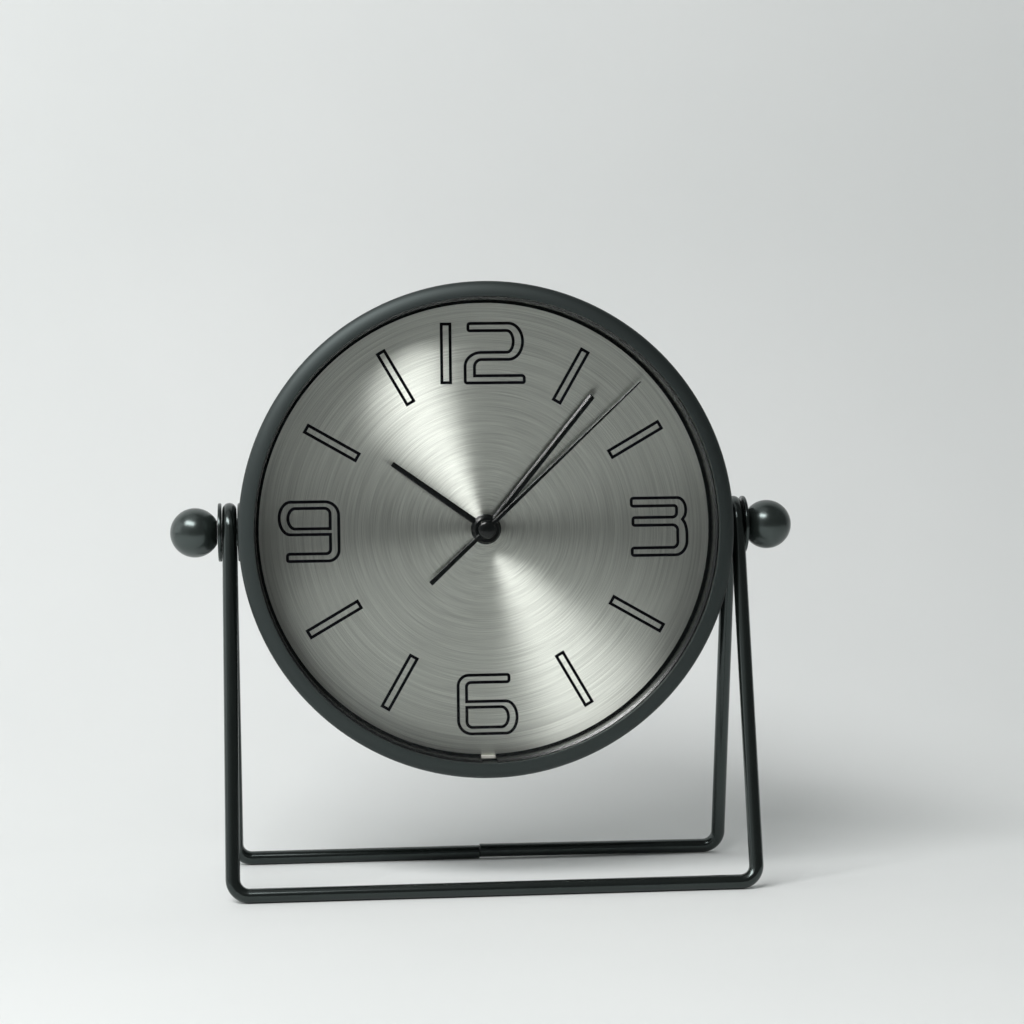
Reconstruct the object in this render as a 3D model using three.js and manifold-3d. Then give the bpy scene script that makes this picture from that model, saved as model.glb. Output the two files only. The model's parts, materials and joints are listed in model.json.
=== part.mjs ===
// Desk clock: a round drum that tilts between the hairpin ends of a bent wire stand.
// Millimetres. X to the viewer's right, Y away from the viewer, Z up.
// The origin is on the table, under the middle of the drum.

import * as THREE from 'three';
import { mergeVertices } from 'three/addons/utils/BufferGeometryUtils.js';
import Module from 'manifold-3d';

const wasm = await Module();
wasm.setup();

// Fits
const CLEARANCE = 0.3; // between pieces that lie against each other
const RUNNING_GAP = 0.2; // round a pin or tube that turns

// Facets
const DRUM_STEPS = 48;
const SMALL_STEPS = 16;
const PIN_STEPS = 10;
const BALL_STEPS = 20;
const HEX_SIDES = 6;
const ROUND_STEPS = 2; // on each rounded edge, per eighth of a turn
const WIRE_SIDES = 12;
const BEND_STEPS = 6;
const ARCH_STEPS = 10;
const HAND_STEPS = 6;

// Stand wire
const PIVOT_HEIGHT = 100; // table to tilt axis
const WIRE_DIAMETER = 4;
const RAIL_SPACING = 62; // front rail to rear rail
const CORNER_BEND_RADIUS = 4.6;
const RAIL_JOINT_GAP = 0.4; // between the butted ends of the wire
const RAIL_JOINT_STEP = 0.4; // the right-hand end lies this much higher
const LEG_CLEARANCE = 0.5; // bezel to leg

// Tilt pivots
const STUD_DIAMETER = 4;
const STUD_TAIL = 1; // past the inner nut
const BUSH_RADIUS = 4; // boss that turns in the hairpin arch
const COLLAR_RADIUS = 8.3; // flange between drum and wire
const WASHER_RADIUS = 8.3;
const WASHER_THICKNESS = 1;
const BALL_RADIUS = 7;
const BALL_FLAT_RADIUS = 3.2; // where the ball meets the washer
const BALL_BORE_DEPTH = 7;
const PIVOT_NUT_WIDTH = 7; // across flats
const PIVOT_NUT_THICKNESS = 3;

// Drum case
const CASE_RADIUS = 67.2;
const CASE_WALL = 1.2;
const PIVOT_SETBACK = 17; // bezel front to tilt axis
const CASE_DEPTH = 28.8; // drum wall, from glass to rear edge
const DIAL_LEDGE_REACH = 3;
const COVER_LEDGE_REACH = 6;
const LEDGE_THICKNESS = 1.2;

// Bezel, glass, spacer and dial
const BEZEL_WALL = 2.2;
const BEZEL_FACE = 4.4; // radial width of the front face
const BEZEL_LIP = 1.8;
const BEZEL_OUTER_ROUND = 2.4;
const BEZEL_INNER_ROUND = 1.2;
const GASKET_THICKNESS = 0.5;
const GLASS_THICKNESS = 2;
const SPACER_WALL = 1.6;
const SPACER_SLIT = 4.4; // gap of the split ring at six o'clock
const DIAL_THICKNESS = 0.8;

// Hands
const HAND_THICKNESS = 0.6;
const HAND_SPACING = 1.5; // from one hand to the next
const HOUR_HAND_LIFT = 2.4; // dial to the front of the hour hand
const GLASS_HEADROOM = 0.4;
const HOUR_HAND = { length: 32.4, root: 1.8, tip: 1.4, hub: 4.3, angle: 305.6 };
const MINUTE_HAND = { length: 48.3, root: 1.9, tip: 1.8, hub: 3.9, angle: 39.3 };
const SECOND_HAND = { length: 60.5, root: 1.2, tip: 0.5, hub: 2.4, angle: 46.9 };
const SECOND_TAIL = { length: 22, root: 1.2, tip: 1.4 };
const CAP_RADIUS = 2.6;
const CAP_HEIGHT = 1;

// Back cover and battery door
const COVER_THICKNESS = 2.4;
const COVER_RECESS = 1.5; // below the rear edge of the drum
const COVER_SCREW_COUNT = 4;
const COVER_SCREW_DIAMETER = 2.5;
const COVER_SCREW_LENGTH = 6;
const COVER_SCREW_HEAD_RADIUS = 2.3;
const COVER_SCREW_HEAD_HEIGHT = 1.2;
const DOOR_WIDTH = 56;
const DOOR_HEIGHT = 20;
const DOOR_PIN_RADIUS = 0.6;
const DOOR_PIN_LENGTH = 1.6;
const DOOR_RIB_WIDTH = 14;
const DOOR_RIB_HEIGHT = 1;
const DOOR_RIB_THICKNESS = 1.5;
const DOOR_RIB_INSET = 3; // from the top edge of the door
const SET_KNOB_RADIUS = 6;
const SET_KNOB_LENGTH = 7;
const SET_KNOB_FLUTES = 12;
const SET_KNOB_FLUTE_DEPTH = 0.5;
const SET_KNOB_BORE_DEPTH = 5;

// Dial studs and their nuts
const DIAL_STUD_DIAMETER = 2;
const DIAL_NUT_WIDTH = 4;
const DIAL_NUT_THICKNESS = 1.6;
const LUG_WIDTH = 7;
const LUG_LENGTH = 7;

// Movement housing and cell
const HOUSING_WALL = 1.2;
const HOUSING_CORNER = 2;
const BUSH_WALL = 0.6;
const CELL_RADIUS = 7;
const CELL_LENGTH = 50.5; // with the nub
const CELL_NUB_RADIUS = 2.75;
const CELL_NUB_LENGTH = 1.2;
const CONTACT_THICKNESS = 0.5;
const CONTACT_WIDTH = 9;
const CONTACT_BUMP_RADIUS = 2.5;
const CONTACT_BUMP_DEPTH = 0.9;

// Gear train: layers of wheels from the front plate to the lid
const WHEEL_THICKNESS = 0.9;
const WHEEL_GAP = 0.5;
const MIDDLE_PLATE_THICKNESS = 0.6;
const ARBOR_RADIUS = 0.5;
const TUBE_WALL = 0.5;
const SET_STEM_RADIUS = 0.8;
const TEETH = {
  rotorPinion: 6, intermediate: 36, intermediatePinion: 6, seconds: 30,
  secondsPinion: 6, third: 48, thirdPinion: 6, centre: 45,
  cannon: 8, motion: 32, motionPinion: 10, hour: 30,
};
const ADDENDUM = 0.6; // in modules
const DEDENDUM = 0.9; // in modules
const TIP_SHARE = 0.2; // of the tooth pitch
const FLANK_SHARE = 0.44; // of the tooth pitch, at the root
const INTERMEDIATE_DISTANCE = 8.6;
const INTERMEDIATE_ANGLE = 120;
const ROTOR_DISTANCE = 8.4;
const ROTOR_ANGLE = 20;
const THIRD_DISTANCE = 9.2;
const THIRD_ANGLE = 35;
const MOTION_DISTANCE = 9.6;
const MOTION_ANGLE = 180;

// Motor and circuit
const MAGNET_RADIUS = 3;
const MAGNET_THICKNESS = 1.4;
const STATOR_GAP = 0.5;
const STATOR_WIDTH = 9.4;
const STATOR_HALF_LENGTH = 20;
const STATOR_ARM = 4;
const CORE_THICKNESS = 1;
const CORE_WIDTH = 2;
const CORE_GAP = 0.1; // core to bobbin
const BOBBIN_RADIUS = 1.6;
const BOBBIN_FLANGE_RADIUS = 2.4;
const BOBBIN_FLANGE_THICKNESS = 0.8;
const WINDING_RADIUS = 2.2;
const BOARD_THICKNESS = 0.8;
const BOARD_WIDTH = 9;
const BOARD_HEIGHT = 22;
const BOARD_POST_RADIUS = 1.2;
const CHIP_RADIUS = 2;
const CHIP_HEIGHT = 0.6;
const CRYSTAL_RADIUS = 1;
const CRYSTAL_LENGTH = 6;

const degrees = THREE.MathUtils.degToRad;

// Finishes
const finish = (color, roughness, metalness) => ({ color, roughness, metalness });
const BLACK_WIRE = finish('#141615', 0.35, 0.3);
const GUNMETAL = finish('#22272a', 0.28, 0.7);
const CASE_PAINT = finish('#23282a', 0.5, 0.3);
const DIAL_STEEL = finish('#a9aca6', 0.32, 1);
const HAND_BLACK = finish('#0d100f', 0.4, 0.2);
const CLEAR_GLASS = finish('#e8eeee', 0.05, 0);
const BLACK_PLASTIC = finish('#161718', 0.55, 0);
const WHITE_PLASTIC = finish('#e4e2da', 0.5, 0);
const RUBBER = finish('#101010', 0.8, 0);
const STEEL = finish('#b9bcbe', 0.35, 1);
const BRASS = finish('#c8a24c', 0.35, 1);
const COPPER = finish('#b4683a', 0.4, 0.8);
const BOARD_GREEN = finish('#2c5a37', 0.6, 0);
const FERRITE = finish('#3b3a3a', 0.7, 0.2);
const CELL_JACKET = finish('#34465a', 0.4, 0.3);

// Solids
function solid(geometry) {
  const bare = geometry.clone();
  bare.deleteAttribute('normal');
  bare.deleteAttribute('uv');
  const merged = mergeVertices(bare, 1e-5);
  return new wasm.Manifold(new wasm.Mesh({
    numProp: 3,
    vertProperties: new Float32Array(merged.attributes.position.array),
    triVerts: new Uint32Array(merged.index.array),
  }));
}

function geometryOf(manifold) {
  const mesh = manifold.getMesh();
  const geometry = new THREE.BufferGeometry();
  geometry.setAttribute('position', new THREE.BufferAttribute(new Float32Array(mesh.vertProperties), 3));
  geometry.setIndex(new THREE.BufferAttribute(new Uint32Array(mesh.triVerts), 1));
  geometry.computeVertexNormals();
  return geometry;
}

function join(...geometries) {
  const [first, ...rest] = geometries.map(solid);
  return geometryOf(rest.reduce((whole, piece) => whole.add(piece), first));
}

function cut(geometry, ...tools) {
  return geometryOf(tools.map(solid).reduce((left, tool) => left.subtract(tool), solid(geometry)));
}

// A body of revolution about Y from a closed profile of [radius, y] points
function turned(points, steps = DRUM_STEPS) {
  const profile = points.map(([radius, y]) => new THREE.Vector2(radius, y));
  profile.push(profile[0].clone());
  return new THREE.LatheGeometry(profile, steps);
}

function ring(inner, outer, front, back, steps) {
  return turned([[outer, front], [outer, back], [inner, back], [inner, front]], steps);
}

// A flat piece: the shape's x and y become X and Z, and it runs from front to back along Y
function plate(shape, front, back, curveSteps = SMALL_STEPS) {
  const geometry = new THREE.ExtrudeGeometry(shape, {
    depth: back - front, bevelEnabled: false, curveSegments: curveSteps,
  });
  return geometry.rotateX(Math.PI / 2).translate(0, back, 0);
}

function pinAlongY(radius, front, back, steps = PIN_STEPS, x = 0, z = 0) {
  const geometry = new THREE.CylinderGeometry(radius, radius, back - front, steps);
  return geometry.translate(x, (front + back) / 2, z);
}

function pinAlongX(radius, left, right, steps = PIN_STEPS, y = 0, z = 0) {
  const geometry = new THREE.CylinderGeometry(radius, radius, right - left, steps).rotateZ(Math.PI / 2);
  return geometry.translate((left + right) / 2, y, z);
}

function block(left, right, front, back, bottom, top) {
  const geometry = new THREE.BoxGeometry(right - left, back - front, top - bottom);
  return geometry.translate((left + right) / 2, (front + back) / 2, (bottom + top) / 2);
}

const turnToX = (geometry) => geometry.rotateZ(-Math.PI / 2); // Y becomes X

function circleHole(radius, x = 0, z = 0) {
  return new THREE.Path().absarc(x, z, radius, 0, 2 * Math.PI, true);
}

function roundedSquare(half, corner) {
  const shape = new THREE.Shape();
  const middle = half - corner;
  shape.absarc(middle, middle, corner, 0, Math.PI / 2, false);
  shape.absarc(-middle, middle, corner, Math.PI / 2, Math.PI, false);
  shape.absarc(-middle, -middle, corner, Math.PI, 1.5 * Math.PI, false);
  shape.absarc(middle, -middle, corner, 1.5 * Math.PI, 2 * Math.PI, false);
  return shape;
}

// A hexagonal nut about Y with flats facing X, from front to back
function hexNut(width, bore, front, back) {
  const corner = width / 2 / Math.cos(Math.PI / HEX_SIDES);
  const points = Array.from({ length: HEX_SIDES }, (_, i) => {
    const angle = Math.PI * (2 * i + 1) / HEX_SIDES;
    return new THREE.Vector2(corner * Math.cos(angle), corner * Math.sin(angle));
  });
  const shape = new THREE.Shape(points);
  shape.holes.push(circleHole(bore));
  return plate(shape, front, back, PIN_STEPS / 2);
}

// The assembly
const clock = new THREE.Group();
const drum = new THREE.Group();
drum.position.z = PIVOT_HEIGHT;
clock.add(drum);

function addPiece(group, name, geometry, look) {
  const mesh = new THREE.Mesh(geometry, new THREE.MeshStandardMaterial(look));
  mesh.name = name;
  group.add(mesh);
  return mesh;
}

// Places along Y in the drum, from the bezel to the rear edge
const bezelFront = -PIVOT_SETBACK;
const lipBack = bezelFront + BEZEL_LIP;
const bezelBack = -COLLAR_RADIUS - CLEARANCE; // clear of the pivot collars
const gasketFront = lipBack + CLEARANCE;
const gasketBack = gasketFront + GASKET_THICKNESS;
const glassFront = gasketBack + CLEARANCE;
const glassBack = glassFront + GLASS_THICKNESS;
const caseFront = glassBack + CLEARANCE;
const caseRear = caseFront + CASE_DEPTH;
const capFront = glassBack + GLASS_HEADROOM;
const capBack = capFront + CAP_HEIGHT;
const secondFront = capBack + CLEARANCE;
const minuteFront = secondFront + HAND_SPACING;
const hourFront = minuteFront + HAND_SPACING;
const dialFront = hourFront + HOUR_HAND_LIFT;
const dialBack = dialFront + DIAL_THICKNESS;
const dialLedgeFront = dialBack + CLEARANCE;
const dialLedgeBack = dialLedgeFront + LEDGE_THICKNESS;
const coverBack = caseRear - COVER_RECESS;
const coverFront = coverBack - COVER_THICKNESS;
const coverLedgeBack = coverFront - CLEARANCE;
const coverLedgeFront = coverLedgeBack - LEDGE_THICKNESS;

// Radii in the drum
const caseInner = CASE_RADIUS - CASE_WALL;
const bezelBore = CASE_RADIUS + CLEARANCE;
const bezelRadius = bezelBore + BEZEL_WALL;
const bezelOpening = bezelRadius - BEZEL_FACE;
const spacerOuter = caseInner - CLEARANCE;
const coverRadius = caseInner - CLEARANCE;
const coverLedgeInner = caseInner - COVER_LEDGE_REACH;
const coverScrewCircle = (coverRadius + coverLedgeInner) / 2;
const coverScrewRadius = COVER_SCREW_DIAMETER / 2;
const coverScrewHole = coverScrewRadius + RUNNING_GAP;

// Places along X at the tilt pivots
const wireRadius = WIRE_DIAMETER / 2;
const studRadius = STUD_DIAMETER / 2;
const studHole = studRadius + RUNNING_GAP;
const wireX = bezelRadius + LEG_CLEARANCE + wireRadius;
const collarInner = CASE_RADIUS + CLEARANCE;
const collarOuter = wireX - wireRadius - CLEARANCE;
const washerInner = wireX + wireRadius + CLEARANCE;
const washerOuter = washerInner + WASHER_THICKNESS;
const ballFlat = washerOuter + CLEARANCE;
const ballCentre = ballFlat + Math.sqrt(BALL_RADIUS ** 2 - BALL_FLAT_RADIUS ** 2);
const nutOuter = caseInner - CLEARANCE;
const nutInner = nutOuter - PIVOT_NUT_THICKNESS;

const screwAngles = Array.from({ length: COVER_SCREW_COUNT }, (_, i) => {
  return Math.PI * (2 * i + 1) / COVER_SCREW_COUNT;
});
const screwPlaces = screwAngles.map((angle) => {
  return [coverScrewCircle * Math.cos(angle), coverScrewCircle * Math.sin(angle)];
});

// Stand: one wire with straight runs and round bends

class StationPath extends THREE.Curve {
  constructor(stations) {
    super();
    this.stations = stations;
  }

  station(u) {
    return this.stations[Math.round(u * (this.stations.length - 1))];
  }

  getPointAt(u) {
    return this.station(u).point.clone();
  }

  getTangentAt(u) {
    return this.station(u).tangent.clone();
  }
}

function bendStations(corner, before, after, radius, steps) {
  const along = corner.clone().sub(before).normalize();
  const onward = after.clone().sub(corner).normalize();
  const turn = along.angleTo(onward);
  const inward = onward.clone().addScaledVector(along, -along.dot(onward)).normalize();
  const start = corner.clone().addScaledVector(along, -radius * Math.tan(turn / 2));
  return Array.from({ length: steps + 1 }, (_, i) => {
    const angle = turn * i / steps;
    const point = start.clone()
      .addScaledVector(along, radius * Math.sin(angle))
      .addScaledVector(inward, radius * (1 - Math.cos(angle)));
    const tangent = along.clone().multiplyScalar(Math.cos(angle)).addScaledVector(inward, Math.sin(angle));
    return { point, tangent };
  });
}

function standWire() {
  const railHalf = RAIL_SPACING / 2;
  const archRadius = BUSH_RADIUS + CLEARANCE + wireRadius;
  const rise = PIVOT_HEIGHT - wireRadius;
  const splay = Math.acos(archRadius / Math.hypot(railHalf, rise)) - Math.atan2(rise, railHalf);
  const apex = PIVOT_HEIGHT + archRadius / Math.sin(splay); // where the two legs would cross
  const at = (x, y, z) => new THREE.Vector3(x, y, z);
  const leftEnd = at(-RAIL_JOINT_GAP / 2, railHalf, wireRadius);
  const rightEnd = at(RAIL_JOINT_GAP / 2, railHalf, wireRadius + RAIL_JOINT_STEP);
  const corners = [
    { at: at(-wireX, railHalf, wireRadius), radius: CORNER_BEND_RADIUS, steps: BEND_STEPS },
    { at: at(-wireX, 0, apex), radius: archRadius, steps: ARCH_STEPS },
    { at: at(-wireX, -railHalf, wireRadius), radius: CORNER_BEND_RADIUS, steps: BEND_STEPS },
    { at: at(wireX, -railHalf, wireRadius), radius: CORNER_BEND_RADIUS, steps: BEND_STEPS },
    { at: at(wireX, 0, apex), radius: archRadius, steps: ARCH_STEPS },
    { at: at(wireX, railHalf, wireRadius), radius: CORNER_BEND_RADIUS, steps: BEND_STEPS },
  ];
  const marks = [leftEnd, ...corners.map((corner) => corner.at), rightEnd];
  const bends = corners.flatMap((corner, i) => {
    return bendStations(corner.at, marks[i], marks[i + 2], corner.radius, corner.steps);
  });
  const start = { point: leftEnd, tangent: bends[0].tangent };
  const end = { point: rightEnd, tangent: bends.at(-1).tangent };
  const path = new StationPath([start, ...bends, end]);
  const sectionCorner = wireRadius / Math.cos(Math.PI / WIRE_SIDES); // a facet rests flat on the table
  const section = new THREE.Shape(Array.from({ length: WIRE_SIDES }, (_, i) => {
    const angle = Math.PI * (2 * i + 1) / WIRE_SIDES;
    return new THREE.Vector2(sectionCorner * Math.cos(angle), sectionCorner * Math.sin(angle));
  }));
  return new THREE.ExtrudeGeometry(section, { steps: path.stations.length - 1, extrudePath: path });
}

addPiece(clock, 'stand_wire', standWire(), BLACK_WIRE);

// Tilt pivots: knob, stud, washer, bush and nut on each side

function ballKnob() {
  const flatAngle = Math.asin(BALL_FLAT_RADIUS / BALL_RADIUS);
  const boreEnd = ballFlat + BALL_BORE_DEPTH;
  const tip = ballCentre + BALL_RADIUS;
  const profile = [[0, tip], [0, boreEnd], [studHole, boreEnd], [studHole, ballFlat]];
  for (let i = 0; i < BALL_STEPS / 2; i += 1) {
    const angle = flatAngle + (Math.PI - flatAngle) * i / (BALL_STEPS / 2);
    profile.push([BALL_RADIUS * Math.sin(angle), ballCentre - BALL_RADIUS * Math.cos(angle)]);
  }
  return turnToX(turned(profile, BALL_STEPS));
}

function pivotBush() {
  const bossOuter = wireX + wireRadius;
  return turnToX(turned([
    [COLLAR_RADIUS, collarInner], [COLLAR_RADIUS, collarOuter], [BUSH_RADIUS, collarOuter],
    [BUSH_RADIUS, bossOuter], [studHole, bossOuter], [studHole, collarInner],
  ], SMALL_STEPS));
}

for (const [side, turn] of [['right', 0], ['left', Math.PI]]) {
  const pivot = new THREE.Group();
  pivot.rotation.z = turn;
  drum.add(pivot);
  const studEnd = ballFlat + BALL_BORE_DEPTH - CLEARANCE;
  const stud = pinAlongX(studRadius, nutInner - STUD_TAIL, studEnd, SMALL_STEPS);
  const washer = turnToX(ring(studHole, WASHER_RADIUS, washerInner, washerOuter, BALL_STEPS));
  const nut = turnToX(hexNut(PIVOT_NUT_WIDTH, studHole, nutInner, nutOuter));
  addPiece(pivot, `${side}_ball_knob`, ballKnob(), GUNMETAL);
  addPiece(pivot, `${side}_stud`, stud, STEEL);
  addPiece(pivot, `${side}_washer`, washer, BLACK_WIRE);
  addPiece(pivot, `${side}_pivot_bush`, pivotBush(), BLACK_WIRE);
  addPiece(pivot, `${side}_pivot_nut`, nut, STEEL);
}

// Drum case with a ledge for the dial and one for the back cover

function caseShell() {
  const dialLedgeInner = caseInner - DIAL_LEDGE_REACH;
  const shell = turned([
    [CASE_RADIUS, caseFront], [CASE_RADIUS, caseRear], [caseInner, caseRear],
    [caseInner, coverLedgeBack], [coverLedgeInner, coverLedgeBack],
    [coverLedgeInner, coverLedgeFront], [caseInner, coverLedgeFront],
    [caseInner, dialLedgeBack], [dialLedgeInner, dialLedgeBack],
    [dialLedgeInner, dialLedgeFront], [caseInner, dialLedgeFront], [caseInner, caseFront],
  ]);
  const nutRoom = PIVOT_NUT_WIDTH / 2 / Math.cos(Math.PI / HEX_SIDES) + CLEARANCE;
  const nutPocketDepth = PIVOT_NUT_THICKNESS + STUD_TAIL + 2 * CLEARANCE;
  const pivotCuts = [-1, 1].flatMap((side) => {
    const reach = [side * (caseInner - nutPocketDepth), side * caseInner].sort((a, b) => a - b);
    const through = [side * nutInner, side * wireX].sort((a, b) => a - b);
    return [pinAlongX(nutRoom, ...reach, SMALL_STEPS), pinAlongX(studHole, ...through, SMALL_STEPS)];
  });
  const screwCuts = screwPlaces.map(([x, z]) => {
    return pinAlongY(coverScrewHole, coverLedgeFront - CLEARANCE, coverFront, PIN_STEPS, x, z);
  });
  return cut(shell, ...pivotCuts, ...screwCuts);
}

function bezelRing() {
  const profile = new THREE.Path();
  const innerCentre = [bezelOpening + BEZEL_INNER_ROUND, bezelFront + BEZEL_INNER_ROUND];
  const outerCentre = [bezelRadius - BEZEL_OUTER_ROUND, bezelFront + BEZEL_OUTER_ROUND];
  profile.moveTo(bezelOpening, lipBack);
  profile.absarc(...innerCentre, BEZEL_INNER_ROUND, Math.PI, 1.5 * Math.PI, false);
  profile.absarc(...outerCentre, BEZEL_OUTER_ROUND, 1.5 * Math.PI, 2 * Math.PI, false);
  profile.lineTo(bezelRadius, bezelBack);
  profile.lineTo(bezelBore, bezelBack);
  profile.lineTo(bezelBore, lipBack);
  return turned(profile.getPoints(ROUND_STEPS).map((point) => [point.x, point.y]));
}

function spacerRing() {
  const inner = spacerOuter - SPACER_WALL;
  const halfSlit = Math.asin(SPACER_SLIT / 2 / spacerOuter);
  const start = 1.5 * Math.PI + halfSlit;
  const end = 3.5 * Math.PI - halfSlit;
  const shape = new THREE.Shape();
  shape.absarc(0, 0, spacerOuter, start, end, false);
  shape.absarc(0, 0, inner, end, start, true);
  return plate(shape, caseFront, dialFront - CLEARANCE, DRUM_STEPS / 2);
}

addPiece(drum, 'case_shell', caseShell(), CASE_PAINT);
addPiece(drum, 'bezel_ring', bezelRing(), CASE_PAINT);
const gasketInner = bezelOpening + CLEARANCE;
addPiece(drum, 'glass_gasket', ring(gasketInner, CASE_RADIUS, gasketFront, gasketBack), RUBBER);
addPiece(drum, 'front_glass', pinAlongY(CASE_RADIUS, glassFront, glassBack, DRUM_STEPS), CLEAR_GLASS);
addPiece(drum, 'spacer_ring', spacerRing(), CASE_PAINT);

// Radii of the coaxial tubes at the middle of the dial, from the arbor outwards
const minuteTubeInner = ARBOR_RADIUS + RUNNING_GAP;
const minuteTubeOuter = minuteTubeInner + TUBE_WALL;
const hourPipeInner = minuteTubeOuter + RUNNING_GAP;
const hourPipeOuter = hourPipeInner + TUBE_WALL;
const bushInner = hourPipeOuter + RUNNING_GAP;
const bushOuter = bushInner + BUSH_WALL;
addPiece(drum, 'dial', ring(bushOuter + CLEARANCE, spacerOuter, dialFront, dialBack), DIAL_STEEL);

// Hands, drawn pointing to twelve and turned clockwise to their place

// The two tip corners of a bar that runs out from the hub, up or down
function barTip(shape, { length, tip }, direction) {
  shape.lineTo(direction * tip / 2, direction * length);
  shape.lineTo(-direction * tip / 2, direction * length);
}

function handShape(hand, tail, bore) {
  const shape = new THREE.Shape();
  const headAngle = Math.asin(hand.root / 2 / hand.hub);
  const quarter = Math.PI / 2;
  if (tail) {
    const tailAngle = Math.asin(tail.root / 2 / hand.hub);
    shape.absarc(0, 0, hand.hub, quarter + headAngle, 3 * quarter - tailAngle, false);
    barTip(shape, tail, -1);
    shape.absarc(0, 0, hand.hub, 3 * quarter + tailAngle, 5 * quarter - headAngle, false);
  } else {
    shape.absarc(0, 0, hand.hub, quarter + headAngle, 5 * quarter - headAngle, false);
  }
  barTip(shape, hand, 1);
  shape.holes.push(circleHole(bore));
  return shape;
}

function addHand(name, hand, tail, bore, front) {
  const blade = plate(handShape(hand, tail, bore), front, front + HAND_THICKNESS, HAND_STEPS);
  const mesh = addPiece(drum, name, blade, HAND_BLACK);
  mesh.rotation.y = degrees(hand.angle);
}

addHand('hour_hand', HOUR_HAND, null, hourPipeOuter + RUNNING_GAP, hourFront);
addHand('minute_hand', MINUTE_HAND, null, minuteTubeOuter + RUNNING_GAP, minuteFront);
addHand('second_hand', SECOND_HAND, SECOND_TAIL, ARBOR_RADIUS + RUNNING_GAP, secondFront);

function secondCap() {
  const rise = Array.from({ length: ROUND_STEPS + 1 }, (_, i) => {
    const angle = Math.PI / 2 * i / ROUND_STEPS;
    return [CAP_RADIUS * Math.sin(angle), capBack - CAP_HEIGHT * Math.cos(angle)];
  });
  return turned([...rise, [0, capBack]], SMALL_STEPS);
}

addPiece(drum, 'second_cap', secondCap(), HAND_BLACK);

// Movement: places along Y, layer by layer, from its front plate to its lid
const housingFront = dialBack + CLEARANCE;
const frontPlateBack = housingFront + HOUSING_WALL;
const layerPitch = WHEEL_THICKNESS + WHEEL_GAP;
const layer = (index) => frontPlateBack + WHEEL_GAP + index * layerPitch;
const hourLayer = layer(0);
const motionLayer = layer(1);
const centreLayer = layer(2);
const thirdLayer = layer(3);
const middlePlateFront = layer(4);
const middlePlateBack = middlePlateFront + MIDDLE_PLATE_THICKNESS;
const secondsLayer = middlePlateBack + WHEEL_GAP;
const intermediateLayer = secondsLayer + layerPitch;
const magnetFront = intermediateLayer + layerPitch;
const magnetBack = magnetFront + MAGNET_THICKNESS;
const coreBack = magnetFront - CLEARANCE;
const coreFront = coreBack - CORE_THICKNESS;
const coilY = (coreFront + coreBack) / 2;
const housingRim = Math.max(coilY + BOBBIN_FLANGE_RADIUS, magnetBack) + CLEARANCE;
const lidFront = housingRim + CLEARANCE;
const lidBack = lidFront + HOUSING_WALL;

// Outline of the movement, set by the cell that lies across it
const bayLength = CELL_LENGTH + CONTACT_BUMP_DEPTH + 2 * CONTACT_THICKNESS + 4 * CLEARANCE;
const movementHalf = bayLength / 2 + HOUSING_WALL;
const roomHalf = movementHalf - HOUSING_WALL;
const cellZ = -roomHalf + CLEARANCE + CELL_RADIUS;
const dividerBottom = cellZ + CELL_RADIUS + CLEARANCE;
const dividerTop = dividerBottom + HOUSING_WALL;

// Arbor places in the X and Z plane, measured from the dial's middle
const polar = ([x, z], distance, angle) => {
  return [x + distance * Math.cos(degrees(angle)), z + distance * Math.sin(degrees(angle))];
};
const centrePlace = [0, 0];
const intermediatePlace = polar(centrePlace, INTERMEDIATE_DISTANCE, INTERMEDIATE_ANGLE);
const rotorPlace = polar(intermediatePlace, ROTOR_DISTANCE, ROTOR_ANGLE);
const thirdPlace = polar(centrePlace, THIRD_DISTANCE, THIRD_ANGLE);
const motionPlace = polar(centrePlace, MOTION_DISTANCE, MOTION_ANGLE);
const rearArbors = [centrePlace, intermediatePlace, rotorPlace]; // borne by middle plate and lid

const arborHole = ARBOR_RADIUS + RUNNING_GAP;
const stemHole = SET_STEM_RADIUS + RUNNING_GAP;
const bore = (radius, [x, z], front, back) => pinAlongY(radius, front, back, PIN_STEPS, x, z);

// Gears: a wheel of straight-flanked teeth, with one tooth centred on the phase angle

const moduleOf = (distance, teeth, mate) => 2 * distance / (teeth + mate);

// Phase that puts a gap of the mate where the gear's tooth meets the line of centres
function matePhase(phase, teeth, mate, lineAngle) {
  return lineAngle + Math.PI - (phase - lineAngle) * teeth / mate - Math.PI / mate;
}

function gear(teeth, module, phase, front, boreRadius = 0) {
  const pitch = 2 * Math.PI / teeth;
  const rootRadius = (teeth / 2 - DEDENDUM) * module;
  const tipRadius = (teeth / 2 + ADDENDUM) * module;
  const points = [];
  for (let i = 0; i < teeth; i += 1) {
    const middle = phase + i * pitch;
    const corners = [
      [rootRadius, -FLANK_SHARE / 2], [tipRadius, -TIP_SHARE / 2],
      [tipRadius, TIP_SHARE / 2], [rootRadius, FLANK_SHARE / 2],
    ];
    for (const [radius, share] of corners) {
      const angle = middle + share * pitch;
      points.push(new THREE.Vector2(radius * Math.cos(angle), radius * Math.sin(angle)));
    }
  }
  const shape = new THREE.Shape(points);
  if (boreRadius > 0) shape.holes.push(circleHole(boreRadius));
  return plate(shape, front, front + WHEEL_THICKNESS, PIN_STEPS / 2);
}

function addAt(name, place, geometry, look) {
  const mesh = addPiece(drum, name, geometry, look);
  mesh.position.set(place[0], 0, place[1]);
}

const lineOf = ([x0, z0], [x1, z1]) => Math.atan2(z1 - z0, x1 - x0);

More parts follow.
